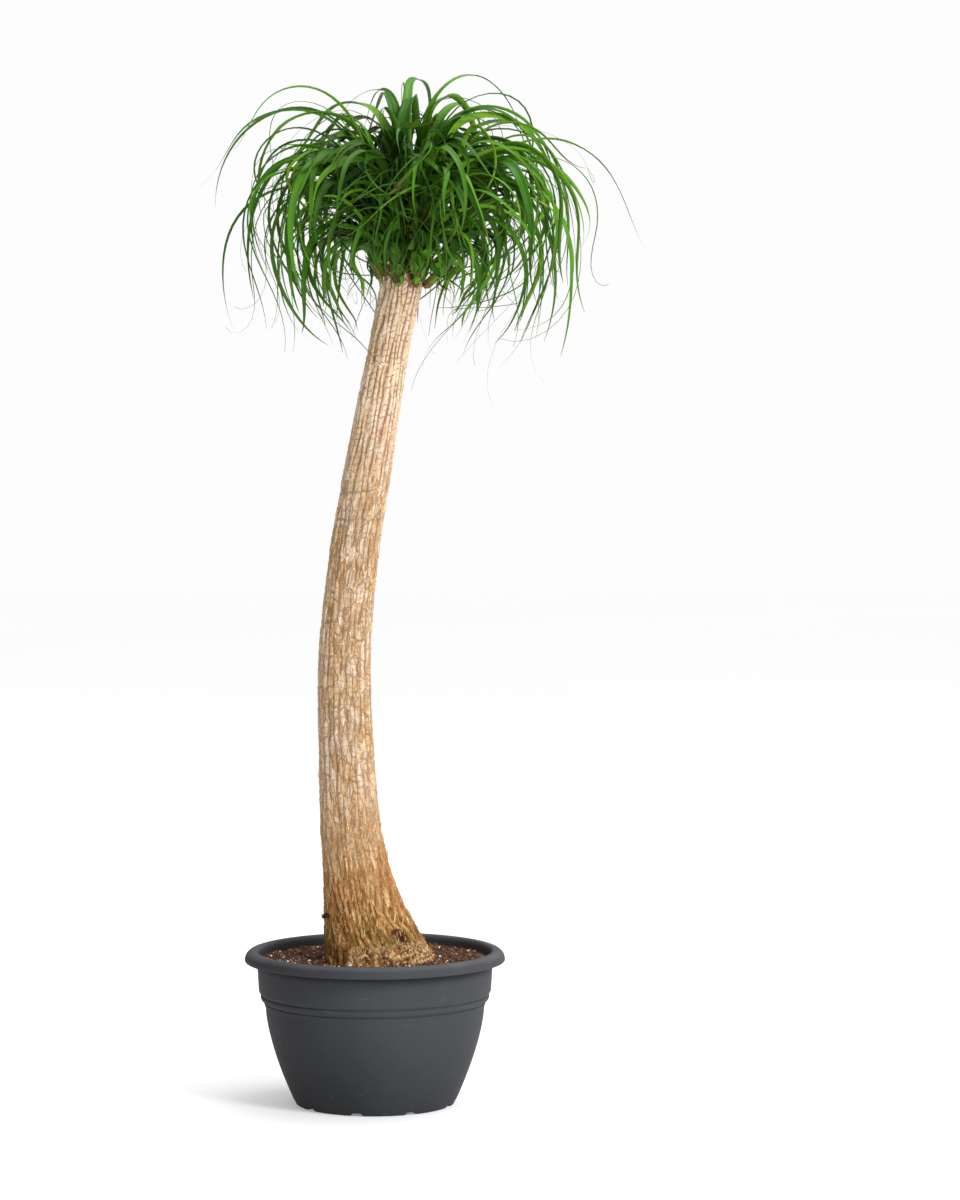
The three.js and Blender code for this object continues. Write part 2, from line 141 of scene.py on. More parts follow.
ROOTS = [sqrt(n) for n in (2, 3, 5, 7, 11, 13, 17, 19, 23, 29, 31)]


def spread(index, channel):
    """A number from 0 to 1, evenly spread over the leaves, with its own sequence a channel."""
    return fmod(0.37 * (channel + 1) + (index + 1) * ROOTS[channel], 1.0)


def lerp(a, b, t):
    return a + (b - a) * t


def clamp(value, low, high):
    return max(low, min(high, value))


def smoothstep(value, low, high):
    t = clamp((value - low) / (high - low), 0, 1)
    return t * t * (3 - 2 * t)


def bow(start, bend, end, t):
    """A point on the curve that leaves start towards bend and comes into end from it."""
    return (1 - t) ** 2 * start + 2 * t * (1 - t) * bend + t ** 2 * end


def rgb(red, green, blue):
    """A screen colour of 0 to 255 a channel as the linear colour that a socket takes."""
    def linear(channel):
        share = channel / 255
        return share / 12.92 if share <= 0.04045 else ((share + 0.055) / 1.055) ** 2.4
    return (linear(red), linear(green), linear(blue), 1.0)


# ---- node trees ----

def operator(operation, kind="ShaderNodeMath", turned=False):
    """A Python operator that adds the node which does it."""
    def act(self, other):
        pair = [other, self] if turned else [self, other]
        return self.graph.add(kind, pair, operation=operation)
    return act


class Value:
    """A node's output that takes part in arithmetic: each operation adds its node."""

    def __init__(self, graph, socket):
        self.graph = graph
        self.socket = socket

    def math(self, operation, *others):
        return self.graph.add("ShaderNodeMath", [self, *others], operation=operation)

    def out(self, name):
        return Value(self.graph, pick(self.socket.node.outputs, name))

    __add__ = __radd__ = operator("ADD")
    __sub__ = operator("SUBTRACT")
    __rsub__ = operator("SUBTRACT", turned=True)
    __mul__ = __rmul__ = operator("MULTIPLY")
    __truediv__ = operator("DIVIDE")
    __pow__ = operator("POWER")
    __gt__ = operator("GREATER_THAN", "FunctionNodeCompare")
    __lt__ = operator("LESS_THAN", "FunctionNodeCompare")
    __and__ = operator("AND", "FunctionNodeBooleanMath")
    __or__ = operator("OR", "FunctionNodeBooleanMath")

    def __invert__(self):
        return self.graph.add("FunctionNodeBooleanMath", [self], operation="NOT")

    def __abs__(self):
        return self.math("ABSOLUTE")

    def most(self, *others):
        """The greatest of this value and the others."""
        greatest = self
        for other in others:
            greatest = greatest.math("MAXIMUM", other)
        return greatest

    def between(self, low, high):
        """0 up to low, 1 from high on, and smooth between them."""
        return self.graph.add("ShaderNodeMapRange", [self, low, high, 0, 1],
                              interpolation_type="SMOOTHSTEP")

    def under(self, low, high):
        """1 up to low, 0 from high on, and smooth between them."""
        return 1 - self.between(low, high)


def pick(sockets, key):
    if isinstance(key, int):
        return sockets[key]
    for socket in sockets:
        if socket.identifier == key:
            return socket
    return sockets[key]


class Graph:
    """A node tree of a material or of geometry, and one way to add any node to it."""

    def __init__(self, tree):
        self.tree = tree

    def add(self, kind, inputs=(), output=0, stops=None, **settings):
        node = self.tree.nodes.new(kind)
        for name, value in settings.items():
            setattr(node, name, value)
        if stops:
            set_stops(node.color_ramp, stops)
        pairs = inputs.items() if isinstance(inputs, dict) else enumerate(inputs)
        for key, value in pairs:
            self.feed(pick(node.inputs, key), value)
        return Value(self, pick(node.outputs, output))

    def feed(self, socket, value):
        """Links a value to a socket, or sets it there: three numbers are a screen colour."""
        if isinstance(value, Value):
            self.tree.links.new(value.socket, socket)
        elif socket.type == "RGBA" and len(value) == 3:
            socket.default_value = rgb(*value)
        else:
            socket.default_value = value

    def mix(self, factor, a, b):
        """A colour between a and b."""
        return self.add("ShaderNodeMix", {"Factor_Float": factor, "A_Color": a, "B_Color": b},
                        "Result_Color", data_type="RGBA")

    def vector(self, operation, *inputs, output=0):
        return self.add("ShaderNodeVectorMath", inputs, output, operation=operation)

    def scale(self, vector, amount):
        return self.add("ShaderNodeVectorMath", {"Vector": vector, "Scale": amount},
                        operation="SCALE")

    def squeeze(self, vector, up, sides=1):
        """A vector with its height and its sides scaled apart."""
        return self.vector("MULTIPLY", vector, (sides, sides, up))

    def vector_of(self, x, y, z):
        return self.add("ShaderNodeCombineXYZ", [x, y, z])

    def parts(self, vector):
        """The x, y and z of a vector."""
        split = self.add("ShaderNodeSeparateXYZ", [vector])
        return [split.out(axis) for axis in "XYZ"]

    def noise(self, vector, scale, detail=3, roughness=0.55):
        return self.add("ShaderNodeTexNoise", {"Vector": vector, "Scale": scale,
                                               "Detail": detail, "Roughness": roughness})

    def push(self, noise, amount):
        """A noise's colour as a shift to any side."""
        return self.scale(self.vector("SUBTRACT", noise.out("Color"), (0.5, 0.5, 0.5)), amount)


def set_stops(ramp, stops):
    """Sets a ramp's stops: each is its place, then the red, green and blue of the screen."""
    while len(ramp.elements) > 1:
        ramp.elements.remove(ramp.elements[-1])
    for index, (place, *colour) in enumerate(stops):
        element = ramp.elements[0] if index == 0 else ramp.elements.new(place)
        element.position = place
        element.color = rgb(*colour)


class Paint(Graph):
    """A material's node tree, with its Principled shader at the end."""

    def __init__(self, name):
        self.material = bpy.data.materials.new(name)
        self.material.use_nodes = True
        super().__init__(self.material.node_tree)
        self.shader = self.tree.nodes["Principled BSDF"]
        self.place = self.add("ShaderNodeTexCoord", output="Object")

    def attribute(self, name, output="Fac"):
        return self.add("ShaderNodeAttribute", output=output, attribute_name=name)

    def ramp(self, value, *stops):
        return self.add("ShaderNodeValToRGB", [value], stops=stops)

    def coats(self, colour, *layers):
        """A colour with others laid over it in turn, each with its share."""
        for share, over in layers:
            colour = self.mix(share, colour, over)
        return colour

    def finish(self, colour, roughness, height=None, depth=1, **constants):
        self.feed(self.shader.inputs["Base Color"], colour)
        self.feed(self.shader.inputs["Roughness"], roughness)
        for name, value in constants.items():
            self.shader.inputs[name.replace("_", " ")].default_value = value
        if height is not None:
            bump = self.add("ShaderNodeBump", {"Height": height, "Distance": depth * MM})
            self.feed(self.shader.inputs["Normal"], bump)
        return self.material


class Growth(Graph):
    """A geometry tree with named inputs. Its last two nodes are Realize Instances and Set
    Material."""

    def __init__(self, name, **inputs):
        super().__init__(bpy.data.node_groups.new(name, "GeometryNodeTree"))
        new_socket = self.tree.interface.new_socket
        for kind, labels in {"Geometry": ["Geometry"], **inputs, "Material": ["Material"]}.items():
            for label in labels:
                new_socket(label, in_out="INPUT", socket_type="NodeSocket" + kind)
        new_socket("Geometry", in_out="OUTPUT", socket_type="NodeSocketGeometry")
        start = self.tree.nodes.new("NodeGroupInput")
        self.given = {socket.name: Value(self, socket) for socket in start.outputs if socket.name}

    def close(self, geometry):
        real = self.add("GeometryNodeRealizeInstances", [geometry])
        dressed = self.add("GeometryNodeSetMaterial",
                           {"Geometry": real, "Material": self.given["Material"]})
        end = self.tree.nodes.new("NodeGroupOutput")
        self.tree.links.new(dressed.socket, end.inputs["Geometry"])
        return self.tree

    def read(self, name, kind="FLOAT"):
        return self.add("GeometryNodeInputNamedAttribute", {"Name": name}, data_type=kind)

    def store(self, geometry, name, value, kind="FLOAT", domain="POINT"):
        return self.add("GeometryNodeStoreNamedAttribute",
                        {"Geometry": geometry, "Name": name, "Value": value},
                        data_type=kind, domain=domain)

    def here(self):
        return self.add("GeometryNodeInputPosition")

    def move(self, geometry, offset):
        return self.add("GeometryNodeSetPosition", {"Geometry": geometry, "Offset": offset})

    def shade(self, geometry, smooth=True):
        return self.add("GeometryNodeSetShadeSmooth",
                        {"Geometry": geometry, "Shade Smooth": smooth})

    def circle(self, sides):
        return self.add("GeometryNodeCurvePrimitiveCircle", {"Resolution": sides, "Radius": 1})

    def sweep(self, section, normal, size):
        """A section drawn along the lines that the tree is given."""
        line = self.add("GeometryNodeMeshToCurve", {"Mesh": self.given["Geometry"]})
        turned = self.add("GeometryNodeSetCurveNormal", {"Curve": line, "Normal": normal},
                          mode="FREE")
        return self.add("GeometryNodeCurveToMesh", {
            "Curve": turned, "Profile Curve": section, "Scale": size, "Fill Caps": True})

    def chance(self, low, high, offset):
        """A number at random for each spot, from the tree's own seed and an offset."""
        return self.add("FunctionNodeRandomValue",
                        {"Min_001": low, "Max_001": high, "Seed": self.given["Seed"] + offset},
                        "Value_001", data_type="FLOAT")

    def grain(self, dent_scale, dent_depth, curl=0):
        """A grain of 20 flat faces, dented, with its two ends curled up."""
        stone = self.add("GeometryNodeMeshIcoSphere", {"Radius": 1, "Subdivisions": 1})
        here = self.here()
        dents = self.push(self.noise(here, dent_scale, 1), dent_depth)
        ends = self.vector_of(0, 0, self.parts(here)[1] ** 2 * curl)
        return self.shade(self.move(stone, self.vector("ADD", dents, ends)), False)

    def spots(self, where):
        """Places at random on the surface that the tree is given."""
        return self.add("GeometryNodeDistributePointsOnFaces", {
            "Mesh": self.given["Geometry"], "Selection": where,
            "Density": self.given["Count per square metre"], "Seed": self.given["Seed"]})

    def lay(self, grain, spots, scale, turn, tone):
        """A grain on each spot, in a tone of its own: the end of the tree."""
        laid = self.add("GeometryNodeInstanceOnPoints", {
            "Points": spots, "Instance": grain, "Scale": scale, "Rotation": turn})
        return self.close(self.store(laid, "tone", tone, domain="INSTANCE"))


# ---- materials ----

def leaf_paint():
    """Green straps: streaked along, paler ribs, edges and undersides, duller outer halves, pale
    sheaths at the root, painted shade deep in the crown, some dry brown tips."""
    paint = Paint("leaf_green")
    along, side, tone, dry, under, deep = map(
        paint.attribute, ("along", "side", "tone", "dry", "under", "deep"))
    veins = (side * 46).math("SINE") * 0.5 + 0.5
    streak = paint.noise(paint.vector_of(side * 5, tone * 90, along * 5), 1, 3, 0.6)
    mottle = paint.noise(paint.place, 42, 2)
    green = paint.ramp(tone * 0.62 + mottle * 0.14 + streak * 0.24, (0.1, 26, 68, 0),
                       (0.36, 48, 112, 0), (0.64, 90, 158, 0), (0.92, 154, 202, 20))
    straw = paint.mix(mottle.between(0.35, 0.65), (118, 92, 50), (60, 38, 24))
    fading = (along - 1 + dry).between(-0.06, 0.04)
    colour = paint.coats(
        green,
        (abs(side).under(0, 0.2) * 0.35, (116, 156, 52)),
        (abs(side).between(0.8, 1) * 0.3, (96, 136, 40)),
        (veins * 0.22, (20, 48, 4)),
        (under * 0.3, (108, 150, 56)),
        (along.between(0.2, 0.85) * 0.45, (56, 84, 26)),
        (along.under(0, 0.11) * 0.7, (128, 156, 40)),
        (fading, straw),
        # painted shade deep in the crown, between the shoots
        (deep * 0.66, (14, 32, 0)))
    roughness = 0.3 + 0.22 * streak + 0.12 * mottle + 0.3 * fading
    return paint.finish(colour, roughness, veins * 0.5 + streak * 0.5, 0.16,
                        Specular_IOR_Level=0.18)


def plates(graph, at, width, stretch, jitter=1):
    """Long cells about as wide as given: how near their edge a point is, 0 on the edge and
    about 0.5 in the middle, and a colour of the cell's own."""
    cells = {"Vector": graph.squeeze(at, 1 / (width * stretch), 1 / width), "Scale": 1,
             "Randomness": jitter}
    edge = graph.add("ShaderNodeTexVoronoi", cells, "Distance", feature="DISTANCE_TO_EDGE")
    tint = graph.add("ShaderNodeTexVoronoi", cells, "Color", feature="F1")
    return edge, graph.parts(tint)


def bark_pattern(graph, at):
    """Ribs, plates, rungs, seams and fibres of the bark, in a space that is round, GIRTH_RADIUS
    from its axis, and as tall as the trunk, all in millimetres."""
    def cloud(scale, up, detail=2):
        return graph.noise(graph.squeeze(at, up), scale, detail)

    x, y, height = graph.parts(at)
    azimuth = y.math("ARCTAN2", x)
    low = height.under(250, 560)
    high = height.between(860, 1120)
    bend = graph.noise(graph.squeeze(at, 0.016, 0.05), 1, 2, 0.5)
    shake = graph.noise(graph.squeeze(at, 0.3, 0.34), 1, 3, 0.5)
    warped = graph.vector("ADD", at, graph.vector("ADD", graph.push(bend, 10),
                                                  graph.push(shake, 2.6)))
    big_edge, big = plates(graph, warped, 8, 3.2, 0.85)
    small_edge, small = plates(graph, warped, 3.4, 1.3)
    strand_edge, strand = plates(graph, warped, 2, 12)
    _, clod = plates(graph, warped, 1.9, 1.6)
    wander = cloud(0.04, 0.25) - 0.5
    ragged = cloud(0.42, 0.5, 3) - 0.5
    patches = cloud(0.07, 0.5)
    patchy = cloud(0.085, 1.6)
    bends = cloud(0.03, 0.36) - 0.5

    rib = azimuth * (RIBS / TAU) + wander * (2.6 + 2 * low)
    off_rib = abs(rib.math("FRACT") - 0.5) + ragged * (0.2 + 0.24 * high)
    furrow = off_rib.under(0.03 + 0.02 * high, 0.15 + 0.07 * high) * patches.between(
        0.38 - 0.06 * high, 0.52 - 0.04 * high)
    shift = ((rib + 0.5).math("FLOOR") * 0.618).math("FRACT")
    rung = height / RUNG_SPACING + wander * 2 + ragged * 0.6 + shift * 0.7 * high
    ring = (abs(rung.math("FRACT") - 0.5).under(0.02, 0.12) * (1 - low)
            * (patchy - 0.02 * high).between(0.4, 0.52))
    off_seam = abs(abs(height + wander * 9 + ragged * 9 - SEAM_HEIGHT) - SEAM_OFFSET)
    seam = off_seam.under(0.8, 3.6) * patchy.between(0.44, 0.54)
    split = big_edge.under(0.01, 0.1 - 0.04 * high) * (0.78 - 0.58 * high - 0.26 * low)
    chink = small_edge.under(0.01, 0.15) * patches.between(0.4, 0.58) * (0.55 - 0.39 * high)
    fibre = strand_edge.under(0.02, 0.14) * (0.22 + 0.5 * low - 0.14 * high)
    rope = abs((azimuth * (ROOT_ROPES / 2) + bends * 22 + ragged * 0.7).math("COSINE"))
    crease = rope.under(0.06, 0.34) * low * 0.85
    crack = split.most(furrow * (0.85 - 0.45 * low), ring * (0.62 + 0.2 * high), chink, fibre,
                       crease, seam * 0.8)
    return SimpleNamespace(
        low=low, high=high, height=height, ragged=ragged, patches=patches, rib=off_rib, rope=rope,
        halo=off_rib.under(0.08, 0.42), crack=crack, plate=big[0], flake=small[1],
        strand=strand[0], clod=clod[2])


def bark_paint():
    """Cream to pinkish plates with brown furrows, browner and mossy at the root crown, crumbly
    in the mat of roots, and dark in its hollows: rotted wood with painted shade deep in them."""
    paint = Paint("tan_bark")
    at = paint.attribute("bark_at", "Vector")
    hollow = paint.attribute("hollow")
    bark = bark_pattern(paint, at)
    low, high = bark.low, bark.high
    broad = paint.noise(paint.squeeze(at, 0.5), 0.024)
    grain = paint.noise(paint.squeeze(at, 0.4), 0.75, 3, 0.65)
    clods = paint.noise(paint.place, CLOD_SCALE, 2).between(0.36, 0.64)
    pale = paint.ramp(
        bark.plate * 0.34 + bark.flake * 0.2 + grain * 0.3 + broad * 0.16,
        (0.26, 190, 144, 92), (0.4, 210, 175, 128), (0.56, 222, 196, 157), (0.74, 246, 231, 208))
    roots = paint.ramp(
        bark.strand * 0.34 + grain * 0.32 + bark.flake * 0.12 + bark.rope * 0.24,
        (0.26, 106, 58, 16), (0.42, 168, 106, 42), (0.58, 214, 154, 80), (0.78, 252, 218, 152))
    crumbly = paint.ramp(
        bark.clod * 0.24 + grain * 0.2 + clods * 0.56,
        (0.1, 52, 28, 15), (0.32, 124, 76, 40), (0.58, 184, 136, 80), (0.86, 234, 202, 150))
    mossy = bark.height.under(230, 316) * bark.patches.between(0.4, 0.54)
    colour = paint.coats(
        pale,
        (high * 0.3, (250, 232, 212)),
        (low, roots),
        (broad.between(0.4, 0.6) * 0.3 * (1 - low), (230, 200, 182)),
        (bark.halo * (0.36 - 0.24 * low - 0.06 * high), (196, 146, 98)),
        (low * broad.between(0.46, 0.6) * 0.3, (150, 122, 54)),
        (low * broad.under(0.38, 0.52) * 0.5, (172, 94, 42)),
        (mossy * 0.72, (100, 94, 22)),
        (bark.crack * (0.78 + 0.12 * low), paint.mix(high, (96, 52, 20), (112, 62, 28))),
        (grain.between(0.56, 0.8) * 0.2, (150, 104, 66)),
        (paint.attribute("mat"), crumbly),
        (hollow.between(0.02, 0.4) * 0.75, (104, 54, 28)),
        # near black in the core of the rot pit and crevice: rotted wood and painted shade of the
        # recess
        (hollow.between(0.45, 0.95), (52, 27, 15)))
    relief = (1 - bark.crack) * 0.6 + grain * 0.2 + bark.flake * 0.2
    return paint.finish(colour, 0.7 + 0.2 * bark.crack, relief, 2, Specular_IOR_Level=0.3)


def pot_paint():
    """Dark grey moulded plastic, satin, with a few scuffs. Painted light: lighter above and to the
    right, darker towards the foot and the left, a painted shadow under the lip, and painted
    highlights along its top."""
    paint = Paint("pot_grey_plastic")
    x, _, height = (part * 1000 for part in paint.parts(paint.place))
    cloud = paint.noise(paint.place, 9, 4)
    fine = paint.noise(paint.place, 900, 2)
    scuff = paint.noise(paint.squeeze(paint.place, 4), 46, 5).between(0.66, 0.74)
    # painted light and shade: lighter higher up and to the right, darker towards the foot and on
    # the left
    painted_light = height.between(10, 200) * 0.55 + x.between(-160, 60) * 0.45
    # painted shadow under the lip's overhang
    lip_shadow = height.between(206, 217) * height.under(219.4, 220.4)
    # patches of painted highlight on the lip's top
    patches = cloud.between(0.44, 0.6) * height.between(226, 233)
    colour = paint.coats(
        # base grey: the painted light above, with a random cloud of tone
        paint.mix(painted_light + (cloud - 0.5) * 0.5, (37, 38, 40), (63, 64, 68)),
        # painted shadow under the lip
        (lip_shadow * 0.7, (22, 22, 24)),
        # painted highlight: patches and a brighter line along the top of the lip
        (patches * 0.12 + height.between(229, 235) * 0.26, (112, 115, 120)),
        (scuff * 0.25, (120, 118, 112)))
    return paint.finish(colour, 0.64 + 0.12 * cloud + 0.12 * scuff, fine, 0.08,
                        Specular_IOR_Level=0.14)


def soil_paint():
    """Brown potting soil, from near black hollows to reddish fibre."""
    paint = Paint("potting_soil")
    lumps = paint.noise(paint.place, 150, 5, 0.7)
    fine = paint.noise(paint.place, 480, 4, 0.6)
    colour = paint.ramp(lumps * 0.5 + fine * 0.5, (0.38, 16, 9, 6), (0.52, 58, 35, 22),
                        (0.64, 112, 72, 46), (0.78, 168, 124, 88))
    return paint.finish(colour, 0.95, fine, 1.5)


def chip_paint(name, dark, light):
    """One kind of grain, each grain in its own tone."""
    paint = Paint(name)
    grit = paint.noise(paint.place, 700, 2)
    patch = paint.noise(paint.place, 60, 2).between(0.36, 0.62)
    tone = paint.attribute("tone") * 0.44 + grit * 0.16 + patch * 0.4
    return paint.finish(paint.mix(tone, dark, light), 0.92, grit, 0.5)


# ---- meshes ----

def in_scene(name, data):
    obj = bpy.data.objects.new(name, data)
    bpy.context.scene.collection.objects.link(obj)
    return obj


def mesh_of(name, points, faces=(), edges=()):
    """An object at the origin from points in millimetres."""
    mesh = bpy.data.meshes.new(name)
    mesh.from_pydata([tuple(p) for p in np.asarray(points, float) * MM], edges, faces)
    mesh.update()
    return in_scene(name, mesh)


def azimuths_of(columns):
    return np.arange(columns) * TAU / columns


def ring(azimuths, radius, height, x=0, y=0):
    return [(x + radius * cos(a), y + radius * sin(a), height) for a in azimuths]


def shell_faces(rows, columns):
    """Faces of a closed shell: rings of points, with one point before the first ring and one
    after the last, at indices 0 and rows * columns + 1."""
    faces = []
    for column in range(columns):
        ahead = (column + 1) % columns
        faces.append((0, 1 + ahead, 1 + column))
        for row in range(rows - 1):
            a = 1 + row * columns
            faces.append((a + column, a + ahead, a + columns + ahead, a + columns + column))
        last = 1 + (rows - 1) * columns
        faces.append((last + column, last + ahead, rows * columns + 1))
    return faces


def tube(name, rows, columns, start, section, end, material):
    """A closed tube from a start to an end point. Its section gives the point at a share of the
    way along and an angle round."""
    points = [start, *(section(row / (rows - 1), TAU * column / columns)
                       for row in range(rows) for column in range(columns)), end]
    obj = mesh_of(name, points, shell_faces(rows, columns))
    dress(obj, material)
    return obj


def dress(obj, material):
    """Shades a mesh smooth and gives it its material."""
    obj.data.polygons.foreach_set("use_smooth", [True] * len(obj.data.polygons))
    obj.data.materials.append(material)


def point_values(obj, **columns):
    """Stores named columns on a mesh, with one number or one vector a point."""
    for name, column in columns.items():
        values = np.asarray(column, np.float32)
        kind, field = ("FLOAT_VECTOR", "vector") if values.ndim == 2 else ("FLOAT", "value")
        layer = obj.data.attributes.new(name, kind, "POINT")
        layer.data.foreach_set(field, values.ravel())


def settle(obj, modifier):
    """Gives an object the mesh that its modifier makes, and removes the modifier."""
    bpy.context.view_layer.update()
    made = bpy.data.meshes.new_from_object(
        obj.evaluated_get(bpy.context.evaluated_depsgraph_get()))
    obj.modifiers.remove(modifier)
    obj.data = made


def grown(obj, tree, settings):
    """Gives an object the mesh that a geometry tree makes of it."""
    modifier = obj.modifiers.new(tree.name, "NODES")
    modifier.node_group = tree
    for item in tree.interface.items_tree:
        if item.in_out == "INPUT" and item.name in settings:
            modifier[item.identifier] = settings[item.name]
    settle(obj, modifier)


def place(obj, node, slot):
    """A finished piece that stands for a node of the solids."""
    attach(obj, "root")
    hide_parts(node)
    return obj


def strew(surface, node, slot, tree, labels, kinds):
    """Lays kinds of grain over a surface, each as a piece of its own: its name, its settings
    under the labels, and its material's name, darkest and lightest colour."""
    for name, row, *colours in kinds:
        grains = in_scene(name, surface.data.copy())
        grains.data.materials.clear()
        grown(grains, tree, {**dict(zip(labels, row)), "Material": chip_paint(*colours)})
        place(grains, node, slot)


# ---- pot ----

def bowl_radius(height):
    rise = 1 - (1 - height / BOWL_HEIGHT) ** BOWL_ROUNDNESS
    return FOOT_RADIUS + (BOWL_RADIUS - FOOT_RADIUS) * rise


def rounded(points, radius, steps):
    """A profile whose corners are rounded, but for its two ends."""
    result = [points[0]]
    for before, corner, after in zip(points, points[1:], points[2:]):
        corner = np.array(corner, float)
        arms = [np.array(point, float) - corner for point in (before, after)]
        reach = min(radius, *(0.45 * np.linalg.norm(arm) for arm in arms))
        start, end = (corner + arm / np.linalg.norm(arm) * reach for arm in arms)
        result += [tuple(bow(start, corner, end, step / steps)) for step in range(steps + 1)]
    return result + [points[-1]]


def inner_wall(inset):
    """The pot's inside, from its floor to the lip."""
    heights = np.linspace(CHANNEL_DEPTH + WALL, BOWL_HEIGHT - 25, 8)
    return [(bowl_radius(z) - WALL - inset, z) for z in heights] + [
        (BOWL_RADIUS - WALL - inset, BOWL_HEIGHT + 2),
        (BOWL_RADIUS - 1 - inset, BOWL_HEIGHT + 11),
        (BAND_RADIUS - 9 - inset, BAND_BOTTOM - 4),
        (BAND_RADIUS - 5.5 - inset, BAND_BOTTOM + 2),
        (BAND_RADIUS - WALL - inset, POT_HEIGHT - 22),
    ]


def pot_profile():
    ring_inside = FOOT_RADIUS - FOOT_RING_WIDTH
    floor = CHANNEL_DEPTH + WALL
    base = rounded([
        (0.5, 0), (CENTRE_DISC_RADIUS, 0), (CENTRE_DISC_RADIUS + 4, CHANNEL_DEPTH),
        (ring_inside - 2, CHANNEL_DEPTH), (ring_inside, 0), (FOOT_RADIUS - 0.5, 0),
        (FOOT_RADIUS + 0.6, 3.2)], 1.2, 3)
    bowl = [(bowl_radius(z), z) for z in np.linspace(8, BOWL_HEIGHT - 3, 26)]
    shoulder = [(BOWL_RADIUS + out, BOWL_HEIGHT + up) for out, up in (
        (-0.2, 0), (2.6, 8.6), (1.2, 9.6), (2.6, 11), (6.2, 13), (7.8, 17), (7.6, 20.4),
        (5.8, 21.6), (7.6, 23), (10.4, BAND_BOTTOM - 3 - BOWL_HEIGHT))]
    band = [(BAND_RADIUS - 2.2, BAND_BOTTOM + 3), (BAND_RADIUS, POT_HEIGHT - 17)]
    lip = [(LIP_RADIUS - inset, POT_HEIGHT - drop) for inset, drop in (
        (3, 16.8), (0.2, 16), (0, 12), (2.5, 5), (9, 0), (19, 0), (21.5, 6))]
    ends = [(BAND_RADIUS, POT_HEIGHT - 16.6)], [(BAND_RADIUS - WALL, POT_HEIGHT - 21)]
    bottom = [(FOOT_RADIUS - 12, floor), (CENTRE_DISC_RADIUS + 2, floor),
              (CENTRE_DISC_RADIUS - 3, WALL), (0.5, WALL)]
    return (base + bowl + rounded(shoulder + band, 2, 3) + rounded(ends[0] + lip + ends[1], 5, 5)
            + rounded(inner_wall(0)[::-1], 5, 3) + rounded(bottom, 2, 2))


def make_pot():
    azimuths = azimuths_of(360)
    profile = pot_profile()
    offsets = (np.degrees(azimuths) - FIRST_NOTCH_DEGREES) % (360 / NOTCHES)
    from_notch = np.minimum(offsets, 360 / NOTCHES - offsets)
    in_notch = np.clip(NOTCH_DEGREES / 2 + 0.5 - from_notch, 0, 1)
    points = [(0, 0, 0)]
    for radius, height in profile:
        row = ring(azimuths, radius, height)
        if FOOT_RADIUS - FOOT_RING_WIDTH - 1 < radius and height < NOTCH_DEPTH:
            row = [(x, y, max(z, NOTCH_DEPTH * share)) for (x, y, z), share in zip(row, in_notch)]
        points += row
    points.append((0, 0, WALL))
    pot = mesh_of("bowl_pot", points, shell_faces(len(profile), len(azimuths)))
    dress(pot, pot_paint())
    drill_floor(pot)
    place(pot, "pot", "pot_plastic")


def drill_floor(pot):
    """Cuts the round drain holes through the pot's floor."""
    sides, low, top = 24, CHANNEL_DEPTH - 4, CHANNEL_DEPTH + WALL + 4
    points, faces = [], []
    for hole in range(NOTCHES):
        azimuth = radians(FIRST_NOTCH_DEGREES + hole * 360 / NOTCHES)
        x, y = DRAIN_CIRCLE * cos(azimuth), DRAIN_CIRCLE * sin(azimuth)
        bottom = [len(points) + side for side in range(sides)]
        roof = [corner + sides for corner in bottom]
        for z in (low, top):
            points += ring(azimuths_of(sides), DRAIN_HOLE_RADIUS, z, x, y)
        faces += [(bottom[k - sides], bottom[k + 1 - sides], roof[k + 1 - sides],
                   roof[k - sides]) for k in range(sides)]
        faces += [bottom[::-1], roof]
    drill = mesh_of("drill", points, faces)
    dress(drill, pot.data.materials[0])
    cut = pot.modifiers.new("drain_holes", "BOOLEAN")
    cut.operation = "DIFFERENCE"
    cut.solver = "MANIFOLD"
    cut.object = drill
    settle(pot, cut)
    bpy.data.objects.remove(drill)


# ---- trunk ----

def trunk_at(height):
    """Centre x, centre y and radius of the trunk, on a smooth curve through its stations."""
    last = len(TRUNK_STATIONS) - 1
    found = [i for i, station in enumerate(TRUNK_STATIONS) if station[0] >= height]
    i = clamp(found[0] if found else last, 1, last)
    before, low, high, after = (np.array(TRUNK_STATIONS[clamp(k, 0, last)])
                                for k in range(i - 2, i + 2))
    span = high[0] - low[0]
    t = clamp((height - low[0]) / span, 0, 1)
    slope_low = (high - before) / (high[0] - before[0]) * span
    slope_high = (after - low) / (after[0] - low[0]) * span
    values = ((2 * t ** 3 - 3 * t ** 2 + 1) * low + (t ** 3 - 2 * t ** 2 + t) * slope_low
              + (3 * t ** 2 - 2 * t ** 3) * high + (t ** 3 - t ** 2) * slope_high)
    return values[1:].tolist()


